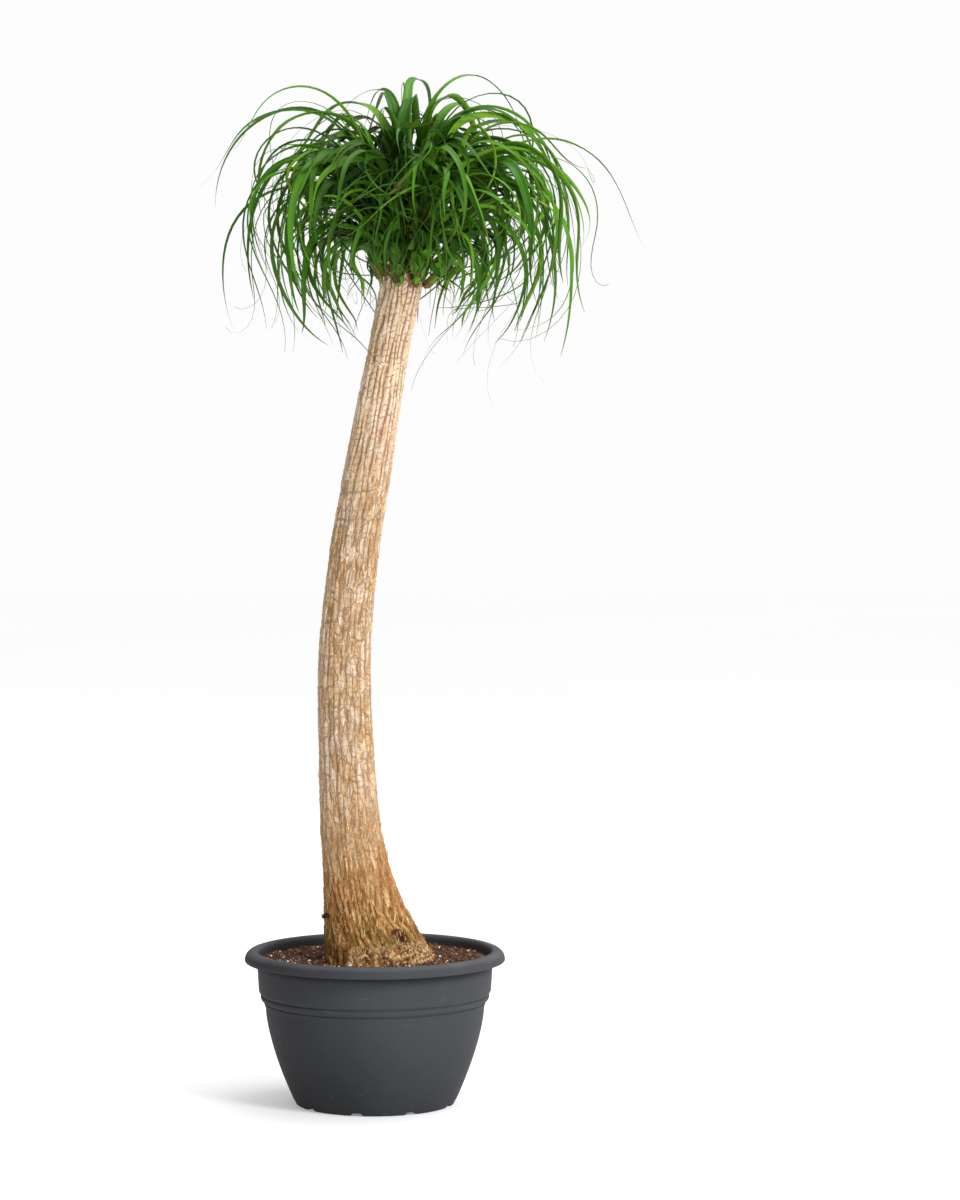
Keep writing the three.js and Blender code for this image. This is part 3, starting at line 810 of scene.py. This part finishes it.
def trunk_tree():
    """Bark on a trunk: rings along its middle line, lobes, root folds, furrows, knobs, scars and
    hollows, and the mat of roots at the foot."""
    graph = Growth("bark_on_trunk", Float=["Furrow depth", "Root fold"], Int=["Sides"])
    given = graph.given
    skin = graph.sweep(graph.circle(given["Sides"]), (1, 0, 0), graph.read("radius"))
    here = graph.here()
    arm = graph.vector("SUBTRACT", here, graph.read("middle", "FLOAT_VECTOR"))
    outward = graph.vector("NORMALIZE", graph.squeeze(arm, 0))
    at = graph.vector("ADD", graph.scale(outward, GIRTH_RADIUS), graph.squeeze(here, 1000, 0))
    bark = bark_pattern(graph, at)
    x, y, _ = graph.parts(outward)
    azimuth = y.math("ARCTAN2", x)
    height = bark.height
    foot = height.under(214, 360)
    lobes = (azimuth * 3 + 0.6).math("COSINE") + 0.6 * (azimuth * 5 - 1.1).math("COSINE")
    furrows = (azimuth * 10 + (height / 95).math("SINE") * 1.4).math("COSINE")
    folds = (bark.rope - 0.6) * (bark.low * 0.6 + foot * foot * 0.6)
    swell = furrows * 0.6 + lobes * 2.6 * foot + (bark.rib.between(0, 0.4) - 0.5) * 1.1
    rough = bark.ragged * (2 + 3 * foot) + (bark.plate - 0.5) * (0.9 + 1.2 * foot)
    lumps = graph.noise(graph.squeeze(here, 0.7), 95) - 0.5
    clods = graph.noise(here, CLOD_SCALE, 2) - 0.5
    torn = clods * 14

    def reach(spot, flatness=1):
        """How far a point is from a spot, in millimetres, with lumps."""
        away = graph.squeeze(graph.vector("SUBTRACT", here, spot), flatness)
        return graph.vector("LENGTH", away, output="Value") * 1000 + lumps * 16

    pit = reach(ROT_PIT)
    crevice = reach(ROT_CREVICE, 2.2) + torn
    # the rot pit and crevice, painted dark: rotted wood and painted shade deep in them
    hollow = (pit + torn).under(4, 16).most(crevice.under(5, 15) * 0.9)
    lips = pit.between(9, 15) * pit.under(15, 26)
    knob = reach(KNOB).under(2, 12).most(reach(CROWN_KNOB, 0.6).under(4, 18))
    crown_scar = (reach(CROWN_SCAR, 0.7) + torn).under(7, 15)
    stub = reach(DEAD_STUB, 2.6).under(6, 21)
    facing = graph.vector("DOT_PRODUCT", outward, (0.72, -0.69, 0), output="Value")
    mat = facing.between(0.1, 0.6) * (height + lumps * 26).under(236, 262)
    share = graph.read("bark_share")
    relief = (swell + rough + folds * given["Root fold"] * (1 - mat)
              - bark.crack * given["Furrow depth"] * (1 - mat)
              + mat * (2.5 + lumps * 11 + clods * 13)
              - hollow * 8 + lips * 2.6 + knob * 4.5 - stub * 2)
    dark = hollow.most((1 - share) * 0.62, stub * 0.7, crown_scar * 0.85)
    marked = graph.store(graph.store(skin, "hollow", dark), "mat", mat)
    kept = graph.store(marked, "bark_at", at, "FLOAT_VECTOR")
    shaped = graph.move(kept, graph.scale(outward, relief * share * MM))
    return graph.close(graph.shade(shaped))


def make_trunk():
    """Rows of height, centre, radius and share of bark, up the trunk and over its sawn top."""
    heights = [96, 104, 116, 130, 150, 170, 190, 203]
    heights += list(np.arange(206, CUT[2] - 5, 2.1))
    rows = [(z, *trunk_at(z), 1) for z in heights]
    x, y, radius = trunk_at(CUT[2])
    sawn = [(-4, 0, 1), (-2, 0.8, 1), (-0.6, 2.2, 0.7), (0, 4.5, 0.4), (-0.6, 9, 0.3),
            (-1.8, 14, 0.3), (-3, 20, 0.3), (-3.8, 26, 0.3), (-4, 30.4, 0.3)]
    rows += [(CUT[2] + drop, x, y, radius - inset, share) for drop, inset, share in sawn]
    centres = [(x, y, z) for z, x, y, _, _ in rows]
    trunk = mesh_of("leaning_trunk", centres, edges=[(i, i + 1) for i in range(len(rows) - 1)])
    point_values(trunk, radius=[r * MM for _, _, _, r, _ in rows],
                 bark_share=[share for *_, share in rows], middle=np.array(centres) * MM)
    grown(trunk, trunk_tree(), {"Sides": 186, "Furrow depth": 1.3, "Root fold": 3.4,
                                "Material": bark_paint()})
    return place(trunk, "trunk", "bark")


def make_stub():
    """The broken dead root that sticks out on the left of the root crown."""
    root = np.array(DEAD_STUB) / MM

    def section(t, angle):
        centre = root + (STUB_LENGTH * (1 - t) - 4, 2.0 * sin(2.4 * t), -1.6 * t * t)
        radius = lerp(5.0, 2.8, t) * (1 + 0.22 * sin(3 * angle + 5 * t)
                                      + 0.12 * sin(7 * angle - 9 * t))
        jag = 2.2 * sin(5 * angle) * smoothstep(t, 0.8, 1)
        return centre + (jag, radius * cos(angle), radius * sin(angle))

    stub = tube("dead_stub", 12, 14, root + (STUB_LENGTH - 4, 0, 0), section,
                root + (-3.2, 1.2, -1.5), chip_paint("dead_wood", (40, 24, 16), (92, 60, 38)))
    point_values(stub, tone=[0.3] * len(stub.data.vertices))
    place(stub, "trunk", "bark")


def flake_tree():
    """Thin flakes that lie along the bark and stand off it a little."""
    graph = Growth("flakes_on_bark", Bool=["Mat only"], Int=["Seed"], Float=[
        "Low", "High", "Count per square metre", "Length", "Slimness", "Tilt"])
    given, chance = graph.given, graph.chance
    height = graph.parts(graph.here())[2]
    in_mat = graph.read("mat") > 0.35
    spots = graph.spots((height > given["Low"]) & (height < given["High"])
                        & (in_mat | ~given["Mat only"]))
    upright = graph.add("FunctionNodeAlignRotationToVector", {"Vector": (0, 0, 1)}, axis="Y")
    outward = graph.add("FunctionNodeAlignRotationToVector",
                        {"Rotation": upright, "Vector": spots.out("Normal")},
                        axis="Z", pivot_axis="Y")
    lean = graph.vector_of(chance(-0.1, 0.22, 1), 0, chance(-1, 1, 2) * given["Tilt"])
    turned = graph.add("FunctionNodeRotateRotation",
                       {"Rotation": outward, "Rotate By": lean}, rotation_space="LOCAL")
    long = given["Length"] * chance(0.35, 1, 3)
    slim = long * given["Slimness"]
    scale = graph.vector_of(slim * chance(0.6, 1.4, 4), long, slim * 0.3)
    return graph.lay(graph.grain(1.7, 0.9, 0.8), spots, scale, turned, chance(0, 1, 5))


def make_flakes(trunk):
    """Loose bark: flakes up the trunk, fibres and strands round its foot, fibres under the
    shoots, and crumbs and clods of root in the mat."""
    labels = ("Low", "High", "Count per square metre", "Seed", "Length", "Slimness", "Tilt",
              "Mat only")
    strew(trunk, "trunk", "bark", flake_tree(), labels, [
        ("bark_flakes", (0.42, 1.262, 9000.0, 5, 0.0034, 0.24, 0.16, False),
         "flake_cream", (186, 138, 92), (244, 224, 194)),
        ("root_fibres", (0.222, 0.46, 7500.0, 8, 0.0066, 0.2, 0.3, False),
         "fibre_ochre", (110, 60, 22), (234, 188, 116)),
        ("root_strands", (0.226, 0.5, 1800.0, 21, 0.014, 0.08, 0.2, False),
         "strand_pale", (184, 130, 72), (240, 206, 152)),
        ("crown_fibres", (1.256, 1.3, 42000.0, 29, 0.013, 0.13, 0.9, False),
         "fibre_dark", (48, 28, 16), (150, 104, 66)),
        ("mat_crumbs", (0.216, 0.27, 42000.0, 13, 0.0046, 0.34, 1.4, True),
         "mat_tan", (88, 48, 24), (244, 210, 158)),
        ("mat_clods", (0.214, 0.272, 9000.0, 33, 0.0062, 0.55, 1.2, True),
         "mat_brown", (62, 34, 18), (186, 132, 78))])


# ---- soil ----

def soil_height(x, y):
    swell = sin(x / 19 + 0.7 * sin(y / 23)) * cos(y / 17 + 0.4)
    crumbs = sin(x / 5.3 + 2 * sin(y / 7.1)) * sin(y / 4.7)
    grit = sin(x / 1.9 + 1.7 * sin(y / 2.3)) * sin(y / 1.7 + sin(x / 3.1))
    return SOIL_LEVEL + 3.2 * (0.6 * swell + 0.4 * crumbs) + 0.7 * grit


def soil_ring(t, azimuths, brim):
    """Points on the soil, from round the trunk at t = 0 to the pot's wall at t = 1."""
    hole_x, hole_y, hole_radius = trunk_at(SOIL_LEVEL)
    inner = np.array(ring(azimuths, hole_radius - 2, 0, hole_x, hole_y))
    outer = np.array(ring(azimuths, brim, 0))
    return [(x, y, soil_height(x, y)) for x, y, _ in inner + (outer - inner) * t]


def make_soil():
    azimuths = azimuths_of(240)
    brim = BAND_RADIUS - WALL - SOIL_CLEARANCE
    wall = [(r, z) for r, z in inner_wall(SOIL_CLEARANCE) if z < SOIL_LEVEL]
    rings = []
    for height in (110, 150, 190, 206):
        x, y, radius = trunk_at(height)
        rings.append(ring(azimuths, radius + 3, height, x, y))
    rings += [soil_ring(t / SOIL_RINGS, azimuths, brim) for t in range(SOIL_RINGS + 1)]
    for radius, height in [(brim, SOIL_LEVEL - 8), *wall[::-1],
                           (CENTRE_DISC_RADIUS + 2, CHANNEL_DEPTH + WALL + SOIL_CLEARANCE),
                           (CENTRE_DISC_RADIUS - 4, WALL + SOIL_CLEARANCE)]:
        rings.append(ring(azimuths, radius, height))
    x, y, _ = trunk_at(110)
    points = [(x, y, 95), *(p for row in rings for p in row), (0, 0, WALL + SOIL_CLEARANCE)]
    faces = [face[::-1] for face in shell_faces(len(rings), len(azimuths))]
    soil = mesh_of("soil_bed", points, faces)
    dress(soil, soil_paint())
    return place(soil, "soil", "soil")


def crumb_tree():
    """Crumbs lying on the soil: small uneven stones, turned and sized at random."""
    graph = Growth("crumbs_on_soil", Int=["Seed"], Float=[
        "Count per square metre", "Smallest", "Largest", "Flatness", "Reach"])
    given = graph.given
    facing = graph.parts(graph.add("GeometryNodeInputNormal"))[2]
    away = graph.vector("LENGTH", graph.squeeze(graph.here(), 0), output="Value")
    spots = graph.spots((facing > 0.25) & (away < given["Reach"]))
    turn = graph.add("FunctionNodeRandomValue", {
        "Min": (0, 0, 0), "Max": (6.28, 6.28, 6.28), "Seed": given["Seed"]},
        data_type="FLOAT_VECTOR")
    range_of_sizes = given["Largest"] - given["Smallest"]
    radius = given["Smallest"] + range_of_sizes * graph.chance(0, 1, 1) ** 3
    scale = graph.vector_of(radius, radius * 0.6, radius * given["Flatness"])
    return graph.lay(graph.grain(1.3, 1.1), spots, scale,
                     graph.add("FunctionNodeEulerToRotation", [turn]), graph.chance(0, 1, 2))


def make_crumbs(soil):
    """Soil clods, reddish bark chips and white expanded specks."""
    labels = ("Count per square metre", "Seed", "Smallest", "Largest", "Flatness", "Reach")
    brim = (BAND_RADIUS - WALL - 1) * MM
    strew(soil, "soil", "soil", crumb_tree(), labels, [
        ("soil_clods", (44000.0, 11, 0.0007, 0.0042, 0.6, brim - 0.0042),
         "clod_brown", (16, 9, 6), (112, 72, 48)),
        ("bark_chips", (15000.0, 23, 0.0009, 0.0062, 0.26, brim - 0.0062),
         "chip_red_brown", (36, 20, 13), (184, 130, 94)),
        ("white_specks", (2800.0, 37, 0.0008, 0.0034, 0.8, brim - 0.0034),
         "speck_white", (226, 218, 204), (255, 253, 248))])


# ---- leaves ----

def shoot_azimuth(index):
    return FRONT_AZIMUTH + index * SECTOR


def polar(azimuth, out, up):
    return CUT + np.array([out * cos(azimuth), out * sin(azimuth), up])


def stem_line(shoot, along):
    """The stem's middle line, as distance from the crown's axis and height over the cut."""
    return bow(np.array(STEM_START, float), np.array([shoot["out"] * 0.8, STEM_START[1] * 0.2]),
               np.array([shoot["out"], shoot["up"]], float), along)


def stem_radius(along):
    swell = 1 - 0.55 * exp(-along / 0.04)
    return swell * lerp(STEM_RADIUS, STEM_TIP_RADIUS, smoothstep(along, 0.3, 1))


def stem_frame(shoot, azimuth, along):
    """A point of the stem's middle line, and the directions away from the crown's axis and
    across it, both at right angles to the stem."""
    here = stem_line(shoot, along)
    ahead = stem_line(shoot, along + 0.01) - here
    ahead /= np.linalg.norm(ahead)
    outward = polar(azimuth, ahead[1], -ahead[0]) - CUT
    return polar(azimuth, *here), outward, across_at(azimuth)


def across_at(azimuth):
    return np.array([-sin(azimuth), cos(azimuth), 0])


def length_at(youth):
    side = LONGEST_AT if youth < LONGEST_AT else YOUNG_SIDE
    return lerp(SHORT_LEAF, LONG_LEAF, 1 - ((youth - LONGEST_AT) / side) ** 2)


def leaf_path(shoot, index, turn_at, youth, number, habit):
    """One leaf's steps: middle point, half width and direction across. The habit of a leaf of
    the solids is RULE; the scene's own leaves stray from it."""
    chance = [spread(number, channel) for channel in range(len(ROOTS))]
    loose, curl = habit["loose"], habit["curl"]
    turn = TAU * (fmod(turn_at * GOLDEN_TURN + 0.5, 1.0) - 0.5) * lerp(0.55, 1, youth)
    along = lerp(FIRST_LEAF * (1 - habit["low"]), STEM_END, youth)
    root_offset = ROOT_DEPTH * stem_radius(along)
    launch = (lerp(LOW_LAUNCH, STEEP_LAUNCH, youth ** 0.48)
              - INWARD_LEAN * youth ** 2 * cos(turn)
              + (8 + 40 * loose) * (chance[0] - 0.5) + habit["lift"])
    reach = lerp(SHORTEST_SHARE, LONGEST_SHARE, chance[1] ** 0.65)
    pace = shoot["reach"] * length_at(youth) * reach * habit["size"] / LEAF_STEPS
    stiffness = shoot["firm"] + 0.15 * chance[2] + 0.22 * youth ** 2
    stiffness = stiffness * lerp(1, lerp(0.7, 1.2, chance[9]), loose) + habit["firm"]
    hang = lerp(-94, -138, chance[3]) - 40 * loose * (chance[10] - 0.3)
    hang -= curl * 90 * (chance[7] - 0.3)
    flick = lerp(-30, 42, chance[4]) * (1 + 1.4 * loose + 2 * curl)
    kink_at = lerp(0.3, 0.65, chance[6])
    kink = -70 * chance[2] if loose and chance[10] > 0.74 else 0
    cross = habit["cross"] * 3.4 * (chance[3] - 0.5)
    drift = 0.95 * sin(turn) * lerp(0.7, 1, chance[5]) + loose * 0.9 * (chance[9] - 0.5)
    sway = (0.24 + 0.9 * loose) * (chance[6] - 0.5)
    broad = lerp(NARROW_LEAF, BROAD_LEAF, chance[7] ** 1.5)
    width = shoot["width"] * broad * habit["width"]
    limit = 2.6 if loose else 1
    out, up = stem_line(shoot, along)
    out += root_offset * cos(turn)
    start_turn = root_offset * sin(turn) / out
    steps = []
    for step in range(LEAF_STEPS + 1):
        s = step / LEAF_STEPS
        room = 1.9 * (out * sin(SECTOR / 2) - SECTOR_MARGIN)
        taper = (1 - s) ** habit["taper"] * (1 + 0.75 * exp(-s / 0.2))
        here = max(min(width * taper, room), 0.5)
        slim = min(width * (1 - s) ** 0.6 * (1 - 0.7 * exp(-s / 0.06)), room)
        free = SECTOR / 2 - asin((slim / 2 + SECTOR_MARGIN) / out)
        free *= 1 + 0.45 * loose
        side = drift + sway * sin(TAU * (0.8 * s + chance[8])) + cross * s * s
        swing = lerp(start_turn, clamp(side, -limit, limit) * free, 1 - exp(-3.2 * s))
        azimuth = shoot_azimuth(index) + clamp(swing, -limit * free, limit * free)
        steps.append((polar(azimuth, out, up), here / 2, across_at(azimuth)))
        ahead = s + 0.5 / LEAF_STEPS
        bent = 1 - exp(-((ahead / stiffness) ** 1.9))
        tip_bend = flick * max(0, (ahead - 0.72) / 0.28) ** 2
        broken = kink * smoothstep(ahead, kink_at, kink_at + 0.08)
        pitch = radians(lerp(launch, hang, bent) + tip_bend + broken)
        out += pace * cos(pitch)
        up += pace * sin(pitch)
        inner = lerp(AXIS_RADIUS, TRUNK_CLEAR_RADIUS, smoothstep(30 - up, 0, 60))
        out += max(0, inner - out) * 0.35 * smoothstep(s, 0.05, 0.3)
        out = max(out, AXIS_RADIUS)
    return steps


def within_box(shoot, index, turn_at, youth, number, habit):
    """A leaf of the scene's own, shortened until it lies in the solids' box and its margin."""
    low, high = (np.array(corner) / MM for corner in cad_box)
    margin = BOX_SHARE * (high - low) + BOX_SPARE
    habit = {**RULE, **habit}
    for _ in range(30):
        steps = leaf_path(shoot, index, turn_at, youth, number, habit)
        path = np.array([point for point, _, _ in steps])
        if (path > low - margin).all() and (path < high + margin).all():
            break
        habit["size"] *= 0.95
    return steps


def sheath(shoot, index, number):
    """The base of an old leaf, which clasps the stem: dry and brown low down, green above."""
    azimuth = shoot_azimuth(index)
    level = (number + 0.5) / SHEATHS
    turn = TAU * fmod(number * GOLDEN_TURN + 0.13 * index, 1.0)
    size = lerp(26, 46, spread(number + 40 * index, 0))
    flare = lerp(0.08, 0.45, spread(number + 40 * index, 1))
    lowest, narrow, brown = (0.16, 0.6, 0.16) if index else (0.02, 0.85, 0.06)
    breadth = lerp(narrow, 1, smoothstep(level, 0, 0.5))
    steps = []
    for step in range(SHEATH_STEPS + 1):
        s = step / SHEATH_STEPS
        along = min(lerp(lowest, 0.52, level) + s * size / 150, STEM_END)
        here, outward, across = stem_frame(shoot, azimuth, along)
        bulge = stem_radius(along) * STEM_SHARE + 1.2 + size * flare * s * s
        direction = outward * cos(turn) + across * sin(turn)
        around = across * cos(turn) - outward * sin(turn)
        width = 9.0 * (1 - s) ** 0.55 * smoothstep(s, -0.2, 0.2) * breadth
        steps.append((here + direction * bulge, max(width, 0.3), around))
    dry = 1.1 - 1.1 * smoothstep(level, brown - 0.2, brown + 0.2)
    return steps, 0.3 + 0.5 * spread(number, 3), dry, 0.0


def shoot_leaves(shoot, index, first_number):
    """The leaves of the solids, then the scene's own families of leaves, then the sheaths: each
    leaf's steps, tone, dryness and twist."""
    leaves = []
    for leaf in range(shoot["leaves"]):
        number = first_number + leaf
        youth = (leaf + 0.5) / shoot["leaves"]
        steps = leaf_path(shoot, index, leaf, youth, number, RULE)
        tone = 0.12 + 0.8 * spread(number, 9) - 0.1 * youth
        dry = 0.09 * max(0, spread(number, 10) - 0.45)
        leaves.append((steps, tone, dry, radians(290) * (spread(number, 8) - 0.5)))
    for family, (kind, (full, sparse, habit)) in enumerate(FAMILIES.items()):
        count = sparse if shoot["name"] in SPARSE_SHOOTS else full
        for leaf in range(count):
            number = 1000 + 300 * index + 50 * family + leaf
            youth = lerp(habit.get("young", 0), 1, (leaf + 0.5) / count)
            steps = within_box(shoot, index, leaf + 0.31 + 0.23 * family, youth, number, habit)
            tone = spread(number, 9) * (0.25 if kind == "thread" else 1)
            dry = 0.12 if kind == "thread" else 0.3 * max(0, spread(number, 10) - 0.5)
            leaves.append((steps, tone, dry, radians(420) * (spread(number, 8) - 0.5)))
    return leaves + [sheath(shoot, index, number) for number in range(SHEATHS)]


def leaf_tree():
    """A strap leaf along each line: a thin section, wide as the line says, folded at its
    middle and flatter towards its tip."""
    graph = Growth("strap_leaves", Int=["Section sides"], Float=[
        "Thickness", "Root fold", "Tip fold", "Ripple"])
    given = graph.given
    at = graph.here()
    x, y, _ = graph.parts(at)
    circle = graph.store(graph.circle(given["Section sides"]), "side", x)
    sided = graph.store(circle, "under", y.math("LESS_THAN", 0))
    flat = graph.vector("MULTIPLY", at, graph.vector_of(1, given["Thickness"], 1))
    section = graph.add("GeometryNodeSetPosition", {"Geometry": sided, "Position": flat})
    half, side, along, tone = map(graph.read, ("half_width", "side", "along", "tone"))
    blade = graph.sweep(section, graph.read("across", "FLOAT_VECTOR"), half)
    fold = given["Root fold"] + (given["Tip fold"] - given["Root fold"]) * along ** 0.5
    ripple = given["Ripple"] * (along * 34 + tone * 40).math("SINE") * side
    rise = (fold * abs(side) ** 1.3 + ripple) * half
    lift = graph.scale(graph.read("lift", "FLOAT_VECTOR"), rise)
    return graph.close(graph.shade(graph.move(blade, lift)))


def turned_about(axis, vector, angle):
    """A vector turned about an axis that is one long and at right angles to it."""
    return vector * cos(angle) + np.cross(axis, vector) * sin(angle)


def deep_in_crown(point):
    """From 0 in the open to 1 in the shade between the shoots, near the crown's middle: how
    much painted shade the leaves and stems take there.
    """
    away = point - CUT
    out = hypot(away[0], away[1])
    return ((1 - smoothstep(out, 70, 230)) * (1 - smoothstep(away[2], 170, 300))
            * smoothstep(away[2], -24, 50))


def leaf_lines(name, leaves):
    """One mesh that holds every leaf's line, with the values that its blade is made from."""
    points, edges, rows = [], [], []
    for order, (steps, tone, dry, twist) in enumerate(leaves):
        chance = [spread(order, channel) for channel in range(len(ROOTS))]
        # how strongly this leaf takes the painted shade in the crown
        shade = lerp(0.1, 1.3, smoothstep(chance[2], 0.15, 0.6))
        path = np.array([point for point, _, _ in steps])
        tangents = np.gradient(path, axis=0)
        tangents /= np.linalg.norm(tangents, axis=1, keepdims=True)
        long = min(1, np.linalg.norm(np.diff(path, axis=0), axis=1).sum() / 300)
        waves = lerp(1.2, 2.6, chance[5])
        first = len(points)
        edges += [(first + k, first + k + 1) for k in range(len(steps) - 1)]
        for k, (point, half, across) in enumerate(steps):
            s = k / (len(steps) - 1)
            straight = across - tangents[k] * np.dot(across, tangents[k])
            straight /= np.linalg.norm(straight)
            wide = turned_about(tangents[k], straight, twist * s ** 1.6)
            wave = long * (1.5 + 5 * chance[4]) * smoothstep(s, 0.15, 0.6) * sin(
                TAU * (waves * s + chance[6]))
            point = point + straight * wave
            points.append(point)
            rows.append((half * MM, s, tone, dry, deep_in_crown(point) * shade, wide,
                         np.cross(tangents[k], wide)))
    lines = mesh_of(name, points, edges=edges)
    names = ("half_width", "along", "tone", "dry", "deep", "across", "lift")
    point_values(lines, **dict(zip(names, zip(*rows))))
    return lines


def make_shoot(shoot, index, first_number, tree, material):
    leaves = leaf_lines(shoot["name"] + "_leaves", shoot_leaves(shoot, index, first_number))
    grown(leaves, tree, {"Section sides": 8, "Thickness": 0.07, "Root fold": 0.75,
                         "Tip fold": 0.3, "Ripple": 0.08, "Material": material})
    join_stem(leaves, shoot, index)
    place(leaves, shoot["name"], "leaf")


def join_stem(leaves, shoot, index):
    """The short stem under its sheaths, dry where it leaves the bark."""
    azimuth = shoot_azimuth(index)
    dry_to, green_from = (0.04, 0.16) if index else (0.01, 0.05)
    dry = [1.2]

    def section(share, angle):
        along = STEM_END * share
        here, outward, across = stem_frame(shoot, azimuth, along)
        radius = stem_radius(along) * STEM_SHARE + 0.6 * sin(3 * angle + 26 * along)
        dry.append(1.2 - 0.3 * smoothstep(along, dry_to, green_from)
                   + 0.06 * sin(5 * angle + 9 * index))
        return here + outward * radius * cos(angle) + across * radius * sin(angle)

    tip = stem_line(shoot, 1) + (0, STEM_TIP_RADIUS)
    stem = tube("stem", 30, 24, polar(azimuth, *stem_line(shoot, 0)), section,
                polar(azimuth, *tip), leaves.data.materials[0])
    points = [np.array(vertex.co) / MM for vertex in stem.data.vertices]
    even = np.ones(len(points))
    # the last column is painted shade deep in the crown, as on the leaves
    point_values(stem, side=0.5 * even, along=0.05 * even, tone=0.6 * even, under=0 * even,
                 dry=[*dry, 0], deep=[0.8 * deep_in_crown(p) for p in points])
    with bpy.context.temp_override(active_object=leaves, selected_editable_objects=[leaves, stem],
                                   selected_objects=[leaves, stem], object=leaves):
        bpy.ops.object.join()


# ---- floor, lights and camera ----

def make_studio():
    """A white floor, an even white backdrop, and soft light, brighter from the right."""
    half = 14.0 / MM
    floor = mesh_of("studio_floor", [(x * half, y * half, -0.4)
                                     for x, y in ((-1, -1), (1, -1), (1, 1), (-1, 1))],
                    [(0, 1, 2, 3)])
    paint = Paint("floor_white")
    tint = paint.mix(paint.noise(paint.place, 0.7, 2), (243, 244, 246), (247, 248, 250))
    floor.data.materials.append(paint.finish(
        tint, 0.9, Emission_Color=(0.97, 0.98, 1.0, 1.0), Emission_Strength=0.245))
    world = bpy.data.worlds.new("soft_white")
    world.use_nodes = True
    sky = Graph(world.node_tree)
    backdrop = world.node_tree.nodes["Background"].inputs
    seen = sky.add("ShaderNodeLightPath", output="Is Camera Ray")
    toward = sky.parts(sky.add("ShaderNodeTexCoord", output="Generated"))[0]
    tint = sky.mix(toward * 0.5 + 0.5, (1.0, 0.95, 0.88, 1.0), (0.955, 0.98, 1.0, 1.0))
    sky.feed(backdrop["Color"], sky.mix(seen, tint, (1.0, 1.0, 1.0, 1.0)))
    around = 0.81 + 0.55 * toward
    sky.feed(backdrop["Strength"], around + (0.98 - around) * seen)
    bpy.context.scene.world = world
    bpy.context.scene.view_settings.view_transform = "Standard"
    area_light("key", (2.6, -3.0, 3.0), (0.0, 0.0, 0.9), 1.2, 118)
    area_light("top", (0.6, 0.4, 3.8), (0.0, 0.0, 1.2), 1.6, 45)


def aimed(name, data, at, aim):
    """A light or camera in the scene, at one point and turned towards another, in metres."""
    obj = in_scene(name, data)
    obj.location = at
    obj.rotation_euler = (Vector(aim) - Vector(at)).to_track_quat("-Z", "Y").to_euler()
    return obj


def area_light(name, at, aim, size, power):
    data = bpy.data.lights.new(name, "AREA")
    data.size = size
    data.energy = power
    aimed(name, data, at, aim)


def make_camera():
    """A little under the crown's height, six metres off, looking slightly down."""
    distance, eye_height, aim_height, aside = 6.0, 1.118, 0.774, 0.1614
    data = bpy.data.cameras.new("camera")
    data.sensor_width = 36
    data.lens = 117.9
    bpy.context.scene.camera = aimed("camera", data, (aside, -distance, eye_height),
                                     (aside, 0, aim_height))


# ---- the whole ----

make_camera()
make_studio()
make_pot()
make_flakes(make_trunk())
make_stub()
make_crumbs(make_soil())
blades = leaf_tree()
green = leaf_paint()
first_number = 0
for place_in_ring, shoot in enumerate(SHOOTS):
    make_shoot(shoot, place_in_ring, first_number, blades, green)
    first_number += shoot["leaves"]
